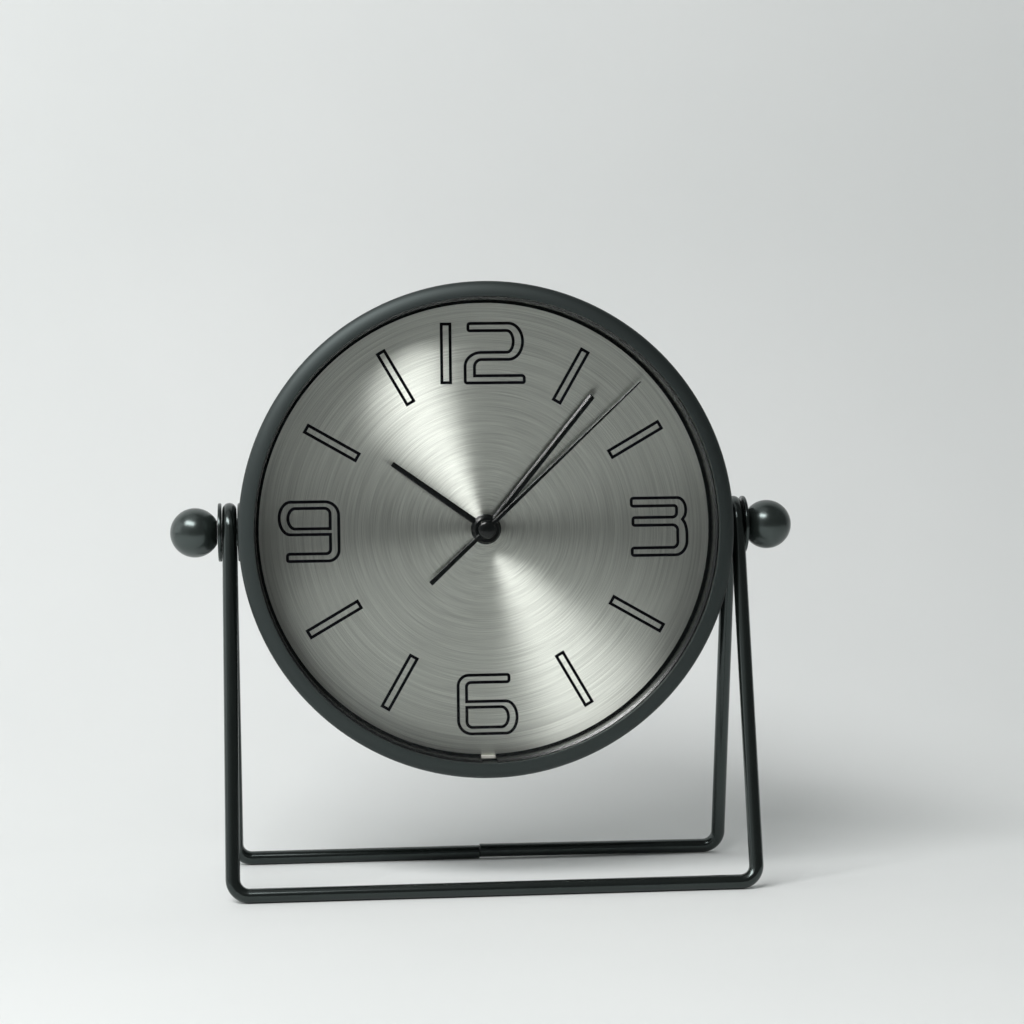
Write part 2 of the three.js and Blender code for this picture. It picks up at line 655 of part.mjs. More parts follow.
// Tooth sizes of the six meshing pairs
const secondsModule = moduleOf(INTERMEDIATE_DISTANCE, TEETH.seconds, TEETH.intermediatePinion);
const rotorModule = moduleOf(ROTOR_DISTANCE, TEETH.intermediate, TEETH.rotorPinion);
const secondsPinionModule = moduleOf(THIRD_DISTANCE, TEETH.secondsPinion, TEETH.third);
const thirdPinionModule = moduleOf(THIRD_DISTANCE, TEETH.thirdPinion, TEETH.centre);
const motionModule = moduleOf(MOTION_DISTANCE, TEETH.cannon, TEETH.motion);
const hourModule = moduleOf(MOTION_DISTANCE, TEETH.motionPinion, TEETH.hour);

// Phases that let each pair mesh
const secondsLine = lineOf(centrePlace, intermediatePlace);
const intermediatePinionPhase = matePhase(0, TEETH.seconds, TEETH.intermediatePinion, secondsLine);
const rotorLine = lineOf(intermediatePlace, rotorPlace);
const rotorPinionPhase = matePhase(0, TEETH.intermediate, TEETH.rotorPinion, rotorLine);
const thirdLine = lineOf(centrePlace, thirdPlace);
const thirdPhase = matePhase(0, TEETH.secondsPinion, TEETH.third, thirdLine);
const centreLine = lineOf(thirdPlace, centrePlace);
const centrePhase = matePhase(0, TEETH.thirdPinion, TEETH.centre, centreLine);
const motionLine = lineOf(centrePlace, motionPlace);
const motionPhase = matePhase(0, TEETH.cannon, TEETH.motion, motionLine);
const hourLine = lineOf(motionPlace, centrePlace);
const hourPhase = matePhase(0, TEETH.motionPinion, TEETH.hour, hourLine);

// Going train: seconds wheel, intermediate wheel, rotor, third wheel and centre wheel
const secondsWheel = join(
  pinAlongY(ARBOR_RADIUS, secondFront + CLEARANCE, lidBack),
  gear(TEETH.seconds, secondsModule, 0, secondsLayer),
  gear(TEETH.secondsPinion, secondsPinionModule, 0, thirdLayer),
);
addAt('seconds_wheel', centrePlace, secondsWheel, BRASS);

const intermediateWheel = join(
  pinAlongY(ARBOR_RADIUS, middlePlateFront, lidBack),
  gear(TEETH.intermediate, rotorModule, 0, intermediateLayer),
  gear(TEETH.intermediatePinion, secondsModule, intermediatePinionPhase, secondsLayer),
);
addAt('intermediate_wheel', intermediatePlace, intermediateWheel, WHITE_PLASTIC);

const rotorPinion = join(
  pinAlongY(ARBOR_RADIUS, middlePlateFront, lidBack),
  gear(TEETH.rotorPinion, rotorModule, rotorPinionPhase, intermediateLayer),
);
addAt('rotor_pinion', rotorPlace, rotorPinion, WHITE_PLASTIC);
const magnet = ring(arborHole, MAGNET_RADIUS, magnetFront, magnetBack, SMALL_STEPS);
addAt('rotor_magnet', rotorPlace, magnet, FERRITE);

const thirdWheel = join(
  pinAlongY(ARBOR_RADIUS, housingFront, middlePlateBack),
  gear(TEETH.third, secondsPinionModule, thirdPhase, thirdLayer),
  gear(TEETH.thirdPinion, thirdPinionModule, 0, centreLayer),
);
addAt('third_wheel', thirdPlace, thirdWheel, WHITE_PLASTIC);

const centreBore = minuteTubeOuter + RUNNING_GAP;
const centreWheel = gear(TEETH.centre, thirdPinionModule, centrePhase, centreLayer, centreBore);
addAt('centre_wheel', centrePlace, centreWheel, BRASS);

// Motion work: minute tube with cannon pinion, motion wheel on the setting stem, hour wheel
const minuteTubeBack = centreLayer + WHEEL_THICKNESS;
const minuteTube = join(
  ring(minuteTubeInner, minuteTubeOuter, minuteFront, minuteTubeBack, PIN_STEPS),
  gear(TEETH.cannon, motionModule, 0, motionLayer, (minuteTubeInner + minuteTubeOuter) / 2),
);
addAt('minute_tube', centrePlace, minuteTube, BRASS);

const knobFront = coverBack + CLEARANCE;
const knobBack = knobFront + SET_KNOB_LENGTH;
const stemBack = knobFront + SET_KNOB_BORE_DEPTH - CLEARANCE;
const motionWheel = join(
  pinAlongY(SET_STEM_RADIUS, housingFront, stemBack),
  gear(TEETH.motion, motionModule, motionPhase, motionLayer),
  gear(TEETH.motionPinion, hourModule, 0, hourLayer),
);
addAt('motion_wheel', motionPlace, motionWheel, WHITE_PLASTIC);

const hourWheel = join(
  ring(hourPipeInner, hourPipeOuter, hourFront, hourLayer + WHEEL_THICKNESS, PIN_STEPS),
  gear(TEETH.hour, hourModule, hourPhase, hourLayer, (hourPipeInner + hourPipeOuter) / 2),
);
addAt('hour_wheel', centrePlace, hourWheel, WHITE_PLASTIC);

function setKnob() {
  const points = Array.from({ length: 2 * SET_KNOB_FLUTES }, (_, i) => {
    const angle = Math.PI * i / SET_KNOB_FLUTES;
    const radius = SET_KNOB_RADIUS - (i % 2) * SET_KNOB_FLUTE_DEPTH;
    return new THREE.Vector2(radius * Math.cos(angle), radius * Math.sin(angle));
  });
  const body = plate(new THREE.Shape(points), knobFront, knobBack);
  return cut(body, pinAlongY(stemHole, knobFront - CLEARANCE, knobFront + SET_KNOB_BORE_DEPTH));
}

addAt('set_knob', motionPlace, setKnob(), BLACK_PLASTIC);

// Movement housing: a tray with a room for the train, a bay for the cell, a bush and two lugs

const lugX = movementHalf + LUG_LENGTH / 2;
const dialStudRadius = DIAL_STUD_DIAMETER / 2;
const dialStudHole = dialStudRadius + RUNNING_GAP;
const boardRight = roomHalf - CLEARANCE;
const boardLeft = boardRight - BOARD_WIDTH;
const boardBottom = dividerTop + CLEARANCE;
const boardTop = boardBottom + BOARD_HEIGHT;
const boardFront = centreLayer;
const boardPostX = (boardLeft + boardRight) / 2;
const boardPostZ = [boardBottom + 2 * BOARD_POST_RADIUS, boardTop - 2 * BOARD_POST_RADIUS];

function frontHousing() {
  const tray = plate(roundedSquare(movementHalf, HOUSING_CORNER), housingFront, housingRim, ROUND_STEPS);
  const lidSide = housingRim + CLEARANCE;
  const room = block(-roomHalf, roomHalf, frontPlateBack, lidSide, dividerTop, roomHalf);
  const bay = block(-roomHalf, roomHalf, frontPlateBack, lidSide, -roomHalf, dividerBottom);
  const lugEnd = movementHalf + LUG_LENGTH;
  const lugs = block(-lugEnd, lugEnd, housingFront, frontPlateBack, -LUG_WIDTH / 2, LUG_WIDTH / 2);
  const bush = pinAlongY(bushOuter, dialFront, frontPlateBack, SMALL_STEPS);
  const posts = boardPostZ.map((z) => {
    const root = (housingFront + frontPlateBack) / 2;
    return pinAlongY(BOARD_POST_RADIUS, root, boardFront - CLEARANCE, PIN_STEPS, boardPostX, z);
  });
  const walls = cut(tray, room, bay);
  const through = [dialFront - CLEARANCE, frontPlateBack + CLEARANCE];
  return cut(
    join(walls, lugs, bush, ...posts),
    pinAlongY(bushInner, ...through, SMALL_STEPS),
    bore(arborHole, thirdPlace, ...through),
    bore(stemHole, motionPlace, ...through),
    ...[-lugX, lugX].map((x) => bore(dialStudHole, [x, 0], ...through)),
  );
}

const coilZ = rotorPlace[1] + STATOR_WIDTH / 2 + CLEARANCE + BOBBIN_FLANGE_RADIUS;

function middlePlate() {
  const half = roomHalf - CLEARANCE;
  const top = coilZ - BOBBIN_FLANGE_RADIUS - CLEARANCE;
  const sheet = block(-half, half, middlePlateFront, middlePlateBack, dividerTop + CLEARANCE, top);
  const through = [middlePlateFront - CLEARANCE, middlePlateBack + CLEARANCE];
  return cut(
    sheet,
    ...rearArbors.map((place) => bore(arborHole, place, ...through)),
    bore(arborHole, thirdPlace, ...through),
    bore(stemHole, motionPlace, ...through),
  );
}

function rearLid() {
  const lid = plate(roundedSquare(movementHalf, HOUSING_CORNER), lidFront, lidBack, ROUND_STEPS);
  const through = [lidFront - CLEARANCE, lidBack + CLEARANCE];
  const bayMouth = block(-movementHalf - CLEARANCE, movementHalf + CLEARANCE, ...through,
    -movementHalf - CLEARANCE, dividerBottom);
  return cut(
    lid,
    bayMouth,
    ...rearArbors.map((place) => bore(arborHole, place, ...through)),
    bore(stemHole, motionPlace, ...through),
  );
}

addPiece(drum, 'movement_housing', frontHousing(), BLACK_PLASTIC);
addPiece(drum, 'middle_plate', middlePlate(), WHITE_PLASTIC);
addPiece(drum, 'movement_lid', rearLid(), BLACK_PLASTIC);

for (const [side, x] of [['left', -lugX], ['right', lugX]]) {
  const nutFront = frontPlateBack + CLEARANCE;
  const nutBack = nutFront + DIAL_NUT_THICKNESS;
  const dialStud = pinAlongY(dialStudRadius, housingFront, nutBack + CLEARANCE);
  const dialNut = hexNut(DIAL_NUT_WIDTH, dialStudHole, nutFront, nutBack);
  addAt(`${side}_dial_stud`, [x, 0], dialStud, STEEL);
  addAt(`${side}_dial_nut`, [x, 0], dialNut, BRASS);
}

// Motor: stator round the magnet, coil on a core that bridges the stator's arms

function stator() {
  const [rotorX, rotorZ] = rotorPlace;
  const bottom = rotorZ - STATOR_WIDTH / 2;
  const shoulder = rotorZ + STATOR_WIDTH / 2;
  const top = coilZ + CORE_WIDTH / 2;
  const inner = STATOR_HALF_LENGTH - STATOR_ARM;
  const outline = [
    [-STATOR_HALF_LENGTH, bottom], [STATOR_HALF_LENGTH, bottom], [STATOR_HALF_LENGTH, top], [inner, top],
    [inner, shoulder], [-inner, shoulder], [-inner, top], [-STATOR_HALF_LENGTH, top],
  ];
  const shape = new THREE.Shape(outline.map(([x, z]) => new THREE.Vector2(x, z)));
  shape.holes.push(circleHole(MAGNET_RADIUS + STATOR_GAP, rotorX, rotorZ));
  shape.holes.push(circleHole(arborHole, ...intermediatePlace));
  return plate(shape, magnetFront, magnetBack, PIN_STEPS);
}

const coilHalf = STATOR_HALF_LENGTH - STATOR_ARM - CLEARANCE;
const windingHalf = coilHalf - BOBBIN_FLANGE_THICKNESS - CLEARANCE;
const core = block(-STATOR_HALF_LENGTH, STATOR_HALF_LENGTH, coreFront, coreBack,
  coilZ - CORE_WIDTH / 2, coilZ + CORE_WIDTH / 2);

function bobbin() {
  const flangeInner = coilHalf - BOBBIN_FLANGE_THICKNESS;
  const spool = turnToX(turned([
    [BOBBIN_FLANGE_RADIUS, -coilHalf], [BOBBIN_FLANGE_RADIUS, -flangeInner], [BOBBIN_RADIUS, -flangeInner],
    [BOBBIN_RADIUS, flangeInner], [BOBBIN_FLANGE_RADIUS, flangeInner], [BOBBIN_FLANGE_RADIUS, coilHalf],
    [0, coilHalf], [0, -coilHalf],
  ], SMALL_STEPS)).translate(0, coilY, coilZ);
  const slotEnd = coilHalf + CLEARANCE;
  const slotHalf = CORE_WIDTH / 2 + CORE_GAP;
  const slot = block(-slotEnd, slotEnd, coreFront - CORE_GAP, coreBack + CORE_GAP,
    coilZ - slotHalf, coilZ + slotHalf);
  return cut(spool, slot);
}

const windingInner = BOBBIN_RADIUS + RUNNING_GAP;
const winding = turnToX(ring(windingInner, WINDING_RADIUS, -windingHalf, windingHalf, SMALL_STEPS));
addPiece(drum, 'stator', stator(), STEEL);
addPiece(drum, 'coil_core', core, STEEL);
addPiece(drum, 'coil_bobbin', bobbin(), WHITE_PLASTIC);
addPiece(drum, 'coil_winding', winding.translate(0, coilY, coilZ), COPPER);

// Circuit board with its chip and quartz crystal on the front side

const boardBack = boardFront + BOARD_THICKNESS;
const partsBack = boardFront - CLEARANCE;
const boardMiddle = (boardBottom + boardTop) / 2;
const chipZ = boardMiddle - CHIP_RADIUS - CLEARANCE;
const crystalFoot = boardMiddle + CLEARANCE;
const chip = pinAlongY(CHIP_RADIUS, partsBack - CHIP_HEIGHT, partsBack, SMALL_STEPS, boardPostX, chipZ);
const crystal = new THREE.CylinderGeometry(CRYSTAL_RADIUS, CRYSTAL_RADIUS, CRYSTAL_LENGTH, PIN_STEPS)
  .rotateX(Math.PI / 2)
  .translate(boardPostX, partsBack - CRYSTAL_RADIUS, crystalFoot + CRYSTAL_LENGTH / 2);
const board = block(boardLeft, boardRight, boardFront, boardBack, boardBottom, boardTop);
addPiece(drum, 'circuit_board', board, BOARD_GREEN);
addPiece(drum, 'circuit_chip', chip, BLACK_PLASTIC);
addPiece(drum, 'quartz_crystal', crystal, STEEL);

// Cell across the bottom of the movement, between its two contacts

const cellY = frontPlateBack + CLEARANCE + CELL_RADIUS;
const positiveInner = roomHalf - CLEARANCE - CONTACT_THICKNESS;
const negativeInner = -positiveInner + CONTACT_BUMP_DEPTH;
const nubEnd = positiveInner - CLEARANCE;
const nubStart = nubEnd - CELL_NUB_LENGTH;
const cellStart = nubEnd - CELL_LENGTH;
const cell = turnToX(turned([
  [0, cellStart], [CELL_RADIUS, cellStart], [CELL_RADIUS, nubStart], [CELL_NUB_RADIUS, nubStart],
  [CELL_NUB_RADIUS, nubEnd], [0, nubEnd],
], BALL_STEPS)).translate(0, cellY, cellZ);
addPiece(drum, 'battery_cell', cell, CELL_JACKET);

function contactPlate(left, right) {
  const half = CONTACT_WIDTH / 2;
  return block(left, right, cellY - half, cellY + half, cellZ - half, cellZ + half);
}

const positiveContact = contactPlate(positiveInner, positiveInner + CONTACT_THICKNESS);
const bumpRoot = -positiveInner - CONTACT_THICKNESS / 2;
const negativeContact = join(
  contactPlate(-positiveInner - CONTACT_THICKNESS, -positiveInner),
  pinAlongX(CONTACT_BUMP_RADIUS, bumpRoot, negativeInner, PIN_STEPS, cellY, cellZ),
);
addPiece(drum, 'positive_contact', positiveContact, STEEL);
addPiece(drum, 'negative_contact', negativeContact, STEEL);

// Back cover, its screws and the battery door hinged on two moulded pins

const doorHalf = DOOR_WIDTH / 2;
const doorBottom = cellZ - DOOR_HEIGHT / 2;
const doorTop = doorBottom + DOOR_HEIGHT;
const hingeRadius = COVER_THICKNESS / 2;
const hingeY = (coverFront + coverBack) / 2;
const hingeZ = doorBottom + hingeRadius;
const pinReach = doorHalf + DOOR_PIN_LENGTH;

function backCover() {
  const disc = pinAlongY(coverRadius, coverFront, coverBack, DRUM_STEPS);
  const through = [coverFront - CLEARANCE, coverBack + CLEARANCE];
  const doorway = block(-doorHalf - CLEARANCE, doorHalf + CLEARANCE, ...through,
    doorBottom - CLEARANCE, doorTop + CLEARANCE);
  const socketReach = pinReach + CLEARANCE;
  const socketRadius = DOOR_PIN_RADIUS + RUNNING_GAP;
  const sockets = pinAlongX(socketRadius, -socketReach, socketReach, PIN_STEPS, hingeY, hingeZ);
  const screwHoles = screwPlaces.map((place) => bore(coverScrewHole, place, ...through));
  return cut(disc, doorway, sockets, bore(stemHole, motionPlace, ...through), ...screwHoles);
}

function batteryDoor() {
  const profile = new THREE.Shape(); // seen from the side: x along Y, y along Z
  profile.absarc(hingeY, hingeZ, hingeRadius, Math.PI, 2 * Math.PI, false);
  profile.lineTo(coverBack, doorTop);
  profile.lineTo(coverFront, doorTop);
  const panel = new THREE.ExtrudeGeometry(profile, {
    depth: DOOR_WIDTH, bevelEnabled: false, curveSegments: ROUND_STEPS,
  });
  panel.rotateX(Math.PI / 2).rotateZ(Math.PI / 2).translate(-doorHalf, 0, 0);
  const pins = pinAlongX(DOOR_PIN_RADIUS, -pinReach, pinReach, PIN_STEPS, hingeY, hingeZ);
  const ribTop = doorTop - DOOR_RIB_INSET;
  const rib = block(-DOOR_RIB_WIDTH / 2, DOOR_RIB_WIDTH / 2, hingeY, coverBack + DOOR_RIB_HEIGHT,
    ribTop - DOOR_RIB_THICKNESS, ribTop);
  return join(panel, pins, rib);
}

function coverScrew() {
  const headFront = coverBack + CLEARANCE;
  const headBack = headFront + COVER_SCREW_HEAD_HEIGHT;
  const tip = headFront - COVER_SCREW_LENGTH;
  return turned([
    [0, tip], [coverScrewRadius, tip], [coverScrewRadius, headFront], [COVER_SCREW_HEAD_RADIUS, headFront],
    [COVER_SCREW_HEAD_RADIUS, headBack], [0, headBack],
  ], PIN_STEPS);
}

addPiece(drum, 'back_cover', backCover(), BLACK_PLASTIC);
addPiece(drum, 'battery_door', batteryDoor(), BLACK_PLASTIC);
screwPlaces.forEach((place, i) => addAt(`cover_screw_${i + 1}`, place, coverScrew(), STEEL));

export default clock;
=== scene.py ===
"""Desk clock on a bent wire stand: looks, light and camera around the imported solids."""

import json
import math

import bmesh
import bpy
from mathutils import Matrix, Vector
from mathutils.geometry import tessellate_polygon


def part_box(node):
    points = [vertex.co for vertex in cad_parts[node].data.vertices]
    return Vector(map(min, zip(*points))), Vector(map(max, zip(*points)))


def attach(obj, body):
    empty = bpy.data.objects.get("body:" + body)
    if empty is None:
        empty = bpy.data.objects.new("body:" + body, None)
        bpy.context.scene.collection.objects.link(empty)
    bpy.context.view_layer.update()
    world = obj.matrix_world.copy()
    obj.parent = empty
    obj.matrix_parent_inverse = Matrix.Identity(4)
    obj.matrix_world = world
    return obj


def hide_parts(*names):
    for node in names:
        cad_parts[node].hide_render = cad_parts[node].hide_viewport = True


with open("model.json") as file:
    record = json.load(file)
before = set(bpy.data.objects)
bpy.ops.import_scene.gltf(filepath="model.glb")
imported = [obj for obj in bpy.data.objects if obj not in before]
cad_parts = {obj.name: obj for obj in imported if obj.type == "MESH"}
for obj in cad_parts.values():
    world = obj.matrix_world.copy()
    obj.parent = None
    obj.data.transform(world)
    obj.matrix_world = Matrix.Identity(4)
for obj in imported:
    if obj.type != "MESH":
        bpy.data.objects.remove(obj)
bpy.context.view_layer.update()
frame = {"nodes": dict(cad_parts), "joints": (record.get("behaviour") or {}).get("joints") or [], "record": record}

MM = 0.001
TURN = 2 * math.pi
QUARTER = math.pi / 2
RECORD = frame["record"]
BODY = {node: body for body, nodes in RECORD["behaviour"]["bodies"].items() for node in nodes}
SLOT = {row["node"]: row["material_slot"] for row in RECORD["subparts"]}
JOINT = {joint["name"]: Vector(joint["pos_m"]) / MM for joint in frame["joints"]}
PIVOT = JOINT["drum_tilt"].z


def box(node):
    """Lowest and highest corner of a solid, in millimetres."""
    low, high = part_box(node)
    return low / MM, high / MM


def reach(node):
    """Least and greatest distance of a solid from the middle plane, in millimetres."""
    return sorted(abs(corner.x) for corner in box(node))


# Sizes in millimetres that the boxes of the solids do not give. Holes, necks and bores are radii.

# Room between solids, and how far a cutting shape runs past a surface
FIT = 0.3
OVERCUT = 1.0

# Wire, and the gap and step between its two ends in the rear rail
WIRE_RADIUS = 2.0
WIRE_EDGE = 0.12
CORNER_BEND = 4.6
END_GAP = 0.06
END_STEP = 0.4

# Tilt pivots: the ball has a flat round its bore
STUD_HOLE = 2.2
COLLAR_NECK = 4.0
BALL_RADIUS = 7.0
BALL_FLAT = 3.2
BALL_DEPTH = 7.0

# Case: two ledges inside, and cuts measured from its inner and outer wall
CASE_WALL = 1.2
LEDGE = 1.2
COVER_LEDGE_WIDTH = 6.0
DIAL_LEDGE_WIDTH = 3.0
STUD_CUT = dict(inside=5.0, outside=3.0)
NUT_POCKET = dict(deep=4.6, shallow=0.4)
SCREW_HOLE = 1.45

# Bezel: the face that shows, the lip before the glass and the wall behind it
BEZEL_FACE = 4.4
BEZEL_LIP = 1.8
BEZEL_WALL = 2.2
BEZEL_OUTER_ROUND = 2.4
BEZEL_EDGE = 0.15

# Spacer: step and lip say how far the gloss wall stands back from the foot
SPACER_SLIT = 4.4
SPACER_WALL = 1.6
SPACER_FOOT = 0.7
SPACER_STEP = 0.65
SPACER_LIP = dict(front=1.55, back=0.85, depth=0.46)
TAB = dict(room=0.2, outer=1.2, inner=0.35, thickness=1.0)

# Dial and print: line width, distance of the figures from the centre, sideways places in the twelve
DIAL_BUSH = 2.7
PRINT_LINE = 0.84
PRINT_RADIUS = 49.9
PRINT_THICKNESS = 0.03
PRINT_SINK = 0.01
TWELVE = dict(one=-10.6, two=3.2)
BATON = dict(start=41.65, end=58.05, half_width=1.09)

# Hands: widths at root and tip, angle clockwise from twelve in degrees, bevel as (width, depth)
HAND_EDGE = 0.05
HANDS = {
    "hour_hand": dict(length=32.4, root=1.8, tip=1.4, hub=4.3, angle=305.6, bore=2.1, bevel=(0.3, 0.146)),
    "minute_hand": dict(length=48.3, root=1.9, tip=1.8, hub=3.9, angle=39.3, bore=1.4, bevel=(0.36, 0.37),
                        lean=0.25),
    "second_hand": dict(length=60.5, root=1.2, tip=0.5, hub=2.4, angle=46.9, bore=0.7, bevel=(0.12, 0.067),
                        tail=dict(length=22.0, root=1.2, tip=1.4)),
}

# Back: door with pins and rib, screws with (radius, height) levels of the head, setting knob
DOOR_HALF_WIDTH = 28.0
PIN_RADIUS = 0.6
PIN_ROOM = 0.2
PIN_SINK = 0.3
RIB = dict(half_width=7.0, height=1.5, below_edge=3.0)
SCREW_SHANK = 1.25
SCREW_POINT = dict(radius=0.6, length=1.2)
SCREW_HEAD = [(2.2, 0.0), (2.3, 0.12), (2.3, 0.55), (2.05, 0.9), (1.5, 1.1)]
SCREW_CROWN = 0.8
CROSS_SLOT = dict(half_length=1.35, half_width=0.28, depth=0.7)
STEM_HOLE = 1.0
STEM_DEPTH = 5.0

# Cell: the nub of its plus end, and how far the sleeve laps over both ends
NUB = dict(radius=2.75, length=1.2)
SLEEVE_LAP = dict(minus=1.6, plus=2.2)

# Fineness of the meshes: steps round a full turn, then along curves

DRUM_STEPS = 192
SPACER_STEPS = 180
GRIP_STEPS = 144
KNOB_STEPS = 72
CELL_STEPS = 72
CAP_STEPS = 64
NUB_STEPS = 48
SCREW_STEPS = 40
EYE_STEPS = 32
WIRE_SIDES = 28
HOLE_STEPS = 24
PIN_STEPS = 20
BALL_STEPS = 40
ARCH_STEPS = 32
HUB_STEPS = dict(whole=28, half=16)
CORNER_STEPS = 14
CURVE_STEPS = 14
HINGE_STEPS = 12

# Angles in degrees above which an edge is drawn sharp
CREASE = 38
SCREW_CREASE = 30
FINE_CREASE = 20
HAND_CREASE = 15

# Distances that count as zero, and the least share of a mitre in a sharp corner
MERGE = 1e-7
ON_AXIS = 1e-6
MITRE_LIMIT = 0.3


# Shader nodes

def add_node(tree, kind, inputs=None, **settings):
    node = tree.nodes.new(kind)
    for key, value in settings.items():
        setattr(node, key, value)
    for key, value in (inputs or {}).items():
        if isinstance(value, bpy.types.NodeSocket):
            tree.links.new(value, node.inputs[key])
        else:
            node.inputs[key].default_value = value
    return node


def new_tree(name):
    material = bpy.data.materials.new(name)
    material.use_nodes = True
    material.node_tree.nodes.clear()
    return material, material.node_tree


def show(tree, socket):
    output = add_node(tree, "ShaderNodeOutputMaterial")
    tree.links.new(socket, output.inputs["Surface"])


def show_mix(tree, share, first, second):
    mix = add_node(tree, "ShaderNodeMixShader", {
        0: share, 1: first.outputs["BSDF"], 2: second.outputs["BSDF"],
    })
    show(tree, mix.outputs["Shader"])


def object_place(tree):
    return add_node(tree, "ShaderNodeTexCoord").outputs["Object"]


def maths(tree, operation, first, second):
    return add_node(tree, "ShaderNodeMath", {0: first, 1: second}, operation=operation).outputs["Value"]


def vector_maths(tree, operation, *values, output="Vector"):
    node = add_node(tree, "ShaderNodeVectorMath", dict(enumerate(values)), operation=operation)
    return node.outputs[output]


def front_only(tree, factor):
    """The factor on the front of a face, and zero on its back."""
    back = add_node(tree, "ShaderNodeNewGeometry").outputs["Backfacing"]
    return maths(tree, "MULTIPLY", factor, maths(tree, "SUBTRACT", 1.0, back))


def ramp(tree, factor, dark, light, low=0.3, high=0.7):
    node = add_node(tree, "ShaderNodeValToRGB", {"Fac": factor})
    first, last = node.color_ramp.elements
    first.position, last.position = low, high
    first.color = (*dark, 1)
    last.color = (*light, 1)
    return node.outputs["Color"]


def spread(tree, factor, low, high):
    return add_node(tree, "ShaderNodeMapRange",
                    {"Value": factor, "To Min": low, "To Max": high}).outputs["Result"]


def noise(tree, place, scale, detail=2.0, roughness=0.5):
    return add_node(tree, "ShaderNodeTexNoise", {
        "Vector": place, "Scale": scale, "Detail": detail, "Roughness": roughness,
    }).outputs["Fac"]


def relief(tree, height, depth, strength=1.0):
    """Normals from a height that spans a depth in millimetres."""
    return add_node(tree, "ShaderNodeBump", {
        "Height": height, "Distance": depth * MM, "Strength": strength,
    }).outputs["Normal"]


def surface(name, colour, vary, patch, grain, depth, rough, **sockets):
    """A finish with cloudy colour and a fine grain in gloss and relief.

    The colour varies by the share vary over patches. Patch, grain and depth are in millimetres.
    """
    material, tree = new_tree(name)
    place = object_place(tree)
    clouds = noise(tree, place, 1 / (patch * MM), 4.0, 0.6)
    fine = noise(tree, place, 1 / (grain * MM), 3.0, 0.6)
    tone = ramp(tree, clouds, [c * (1 - vary) for c in colour], [c * (1 + vary) for c in colour])
    shader = add_node(tree, "ShaderNodeBsdfPrincipled", {
        "Base Color": tone, "Roughness": spread(tree, fine, *rough), "Normal": relief(tree, fine, depth),
        **{key.replace("_", " "): value for key, value in sockets.items()},
    })
    show(tree, shader.outputs["BSDF"])
    return material


def ring_place(tree, pitch, turns):
    """Coordinates that run quickly along the radius of the dial and slowly round it."""
    centred = vector_maths(tree, "ADD", object_place(tree), (0, 0, -PIVOT * MM))
    flat = vector_maths(tree, "MULTIPLY", centred, (1, 0, 1))
    radius = vector_maths(tree, "LENGTH", flat, output="Value")
    around = vector_maths(tree, "NORMALIZE", flat)
    split = add_node(tree, "ShaderNodeSeparateXYZ", {0: around})
    return add_node(tree, "ShaderNodeCombineXYZ", {
        "X": maths(tree, "MULTIPLY", radius, 1 / (pitch * MM)),
        "Y": maths(tree, "MULTIPLY", split.outputs["X"], turns),
        "Z": maths(tree, "MULTIPLY", split.outputs["Z"], turns),
    }).outputs["Vector"]


def brushed_dial(name):
    """Steel brushed in circles: streaks along each circle and a highlight that spreads along the radius."""
    material, tree = new_tree(name)
    streaks = noise(tree, ring_place(tree, pitch=0.14, turns=2.2), 1.0)
    bands = noise(tree, ring_place(tree, pitch=0.7, turns=1.4), 1.0)
    both = add_node(tree, "ShaderNodeMix", {"Factor": 0.35, "A": streaks, "B": bands}).outputs["Result"]
    tangent = add_node(tree, "ShaderNodeTangent", direction_type="RADIAL", axis="Y")
    shader = add_node(tree, "ShaderNodeBsdfPrincipled", {
        "Base Color": ramp(tree, both, (0.63, 0.64, 0.595), (0.92, 0.935, 0.875), 0.36, 0.64),
        "Metallic": 1.0, "Roughness": spread(tree, streaks, 0.33, 0.41),
        "Anisotropic": 1.0, "Anisotropic Rotation": 0.25,
        "Normal": relief(tree, streaks, 0.0025), "Tangent": tangent.outputs["Tangent"],
    })
    show(tree, shader.outputs["BSDF"])
    return material


def clear_pane(name):
    """Flat glass: it passes light straight through and mirrors a little, more at a slant."""
    material, tree = new_tree(name)
    smear = noise(tree, object_place(tree), 1 / (18 * MM), 3.0, 0.6)
    tint = ramp(tree, smear, (0.962, 0.966, 0.962), (0.98, 0.984, 0.98))
    through = add_node(tree, "ShaderNodeBsdfTransparent", {"Color": tint})
    mirror = add_node(tree, "ShaderNodeBsdfGlossy", {"Color": (1, 1, 1, 1), "Roughness": 0.02})
    slant = add_node(tree, "ShaderNodeFresnel", {"IOR": 1.22}).outputs["Fac"]
    show_mix(tree, front_only(tree, slant), through, mirror)
    return material


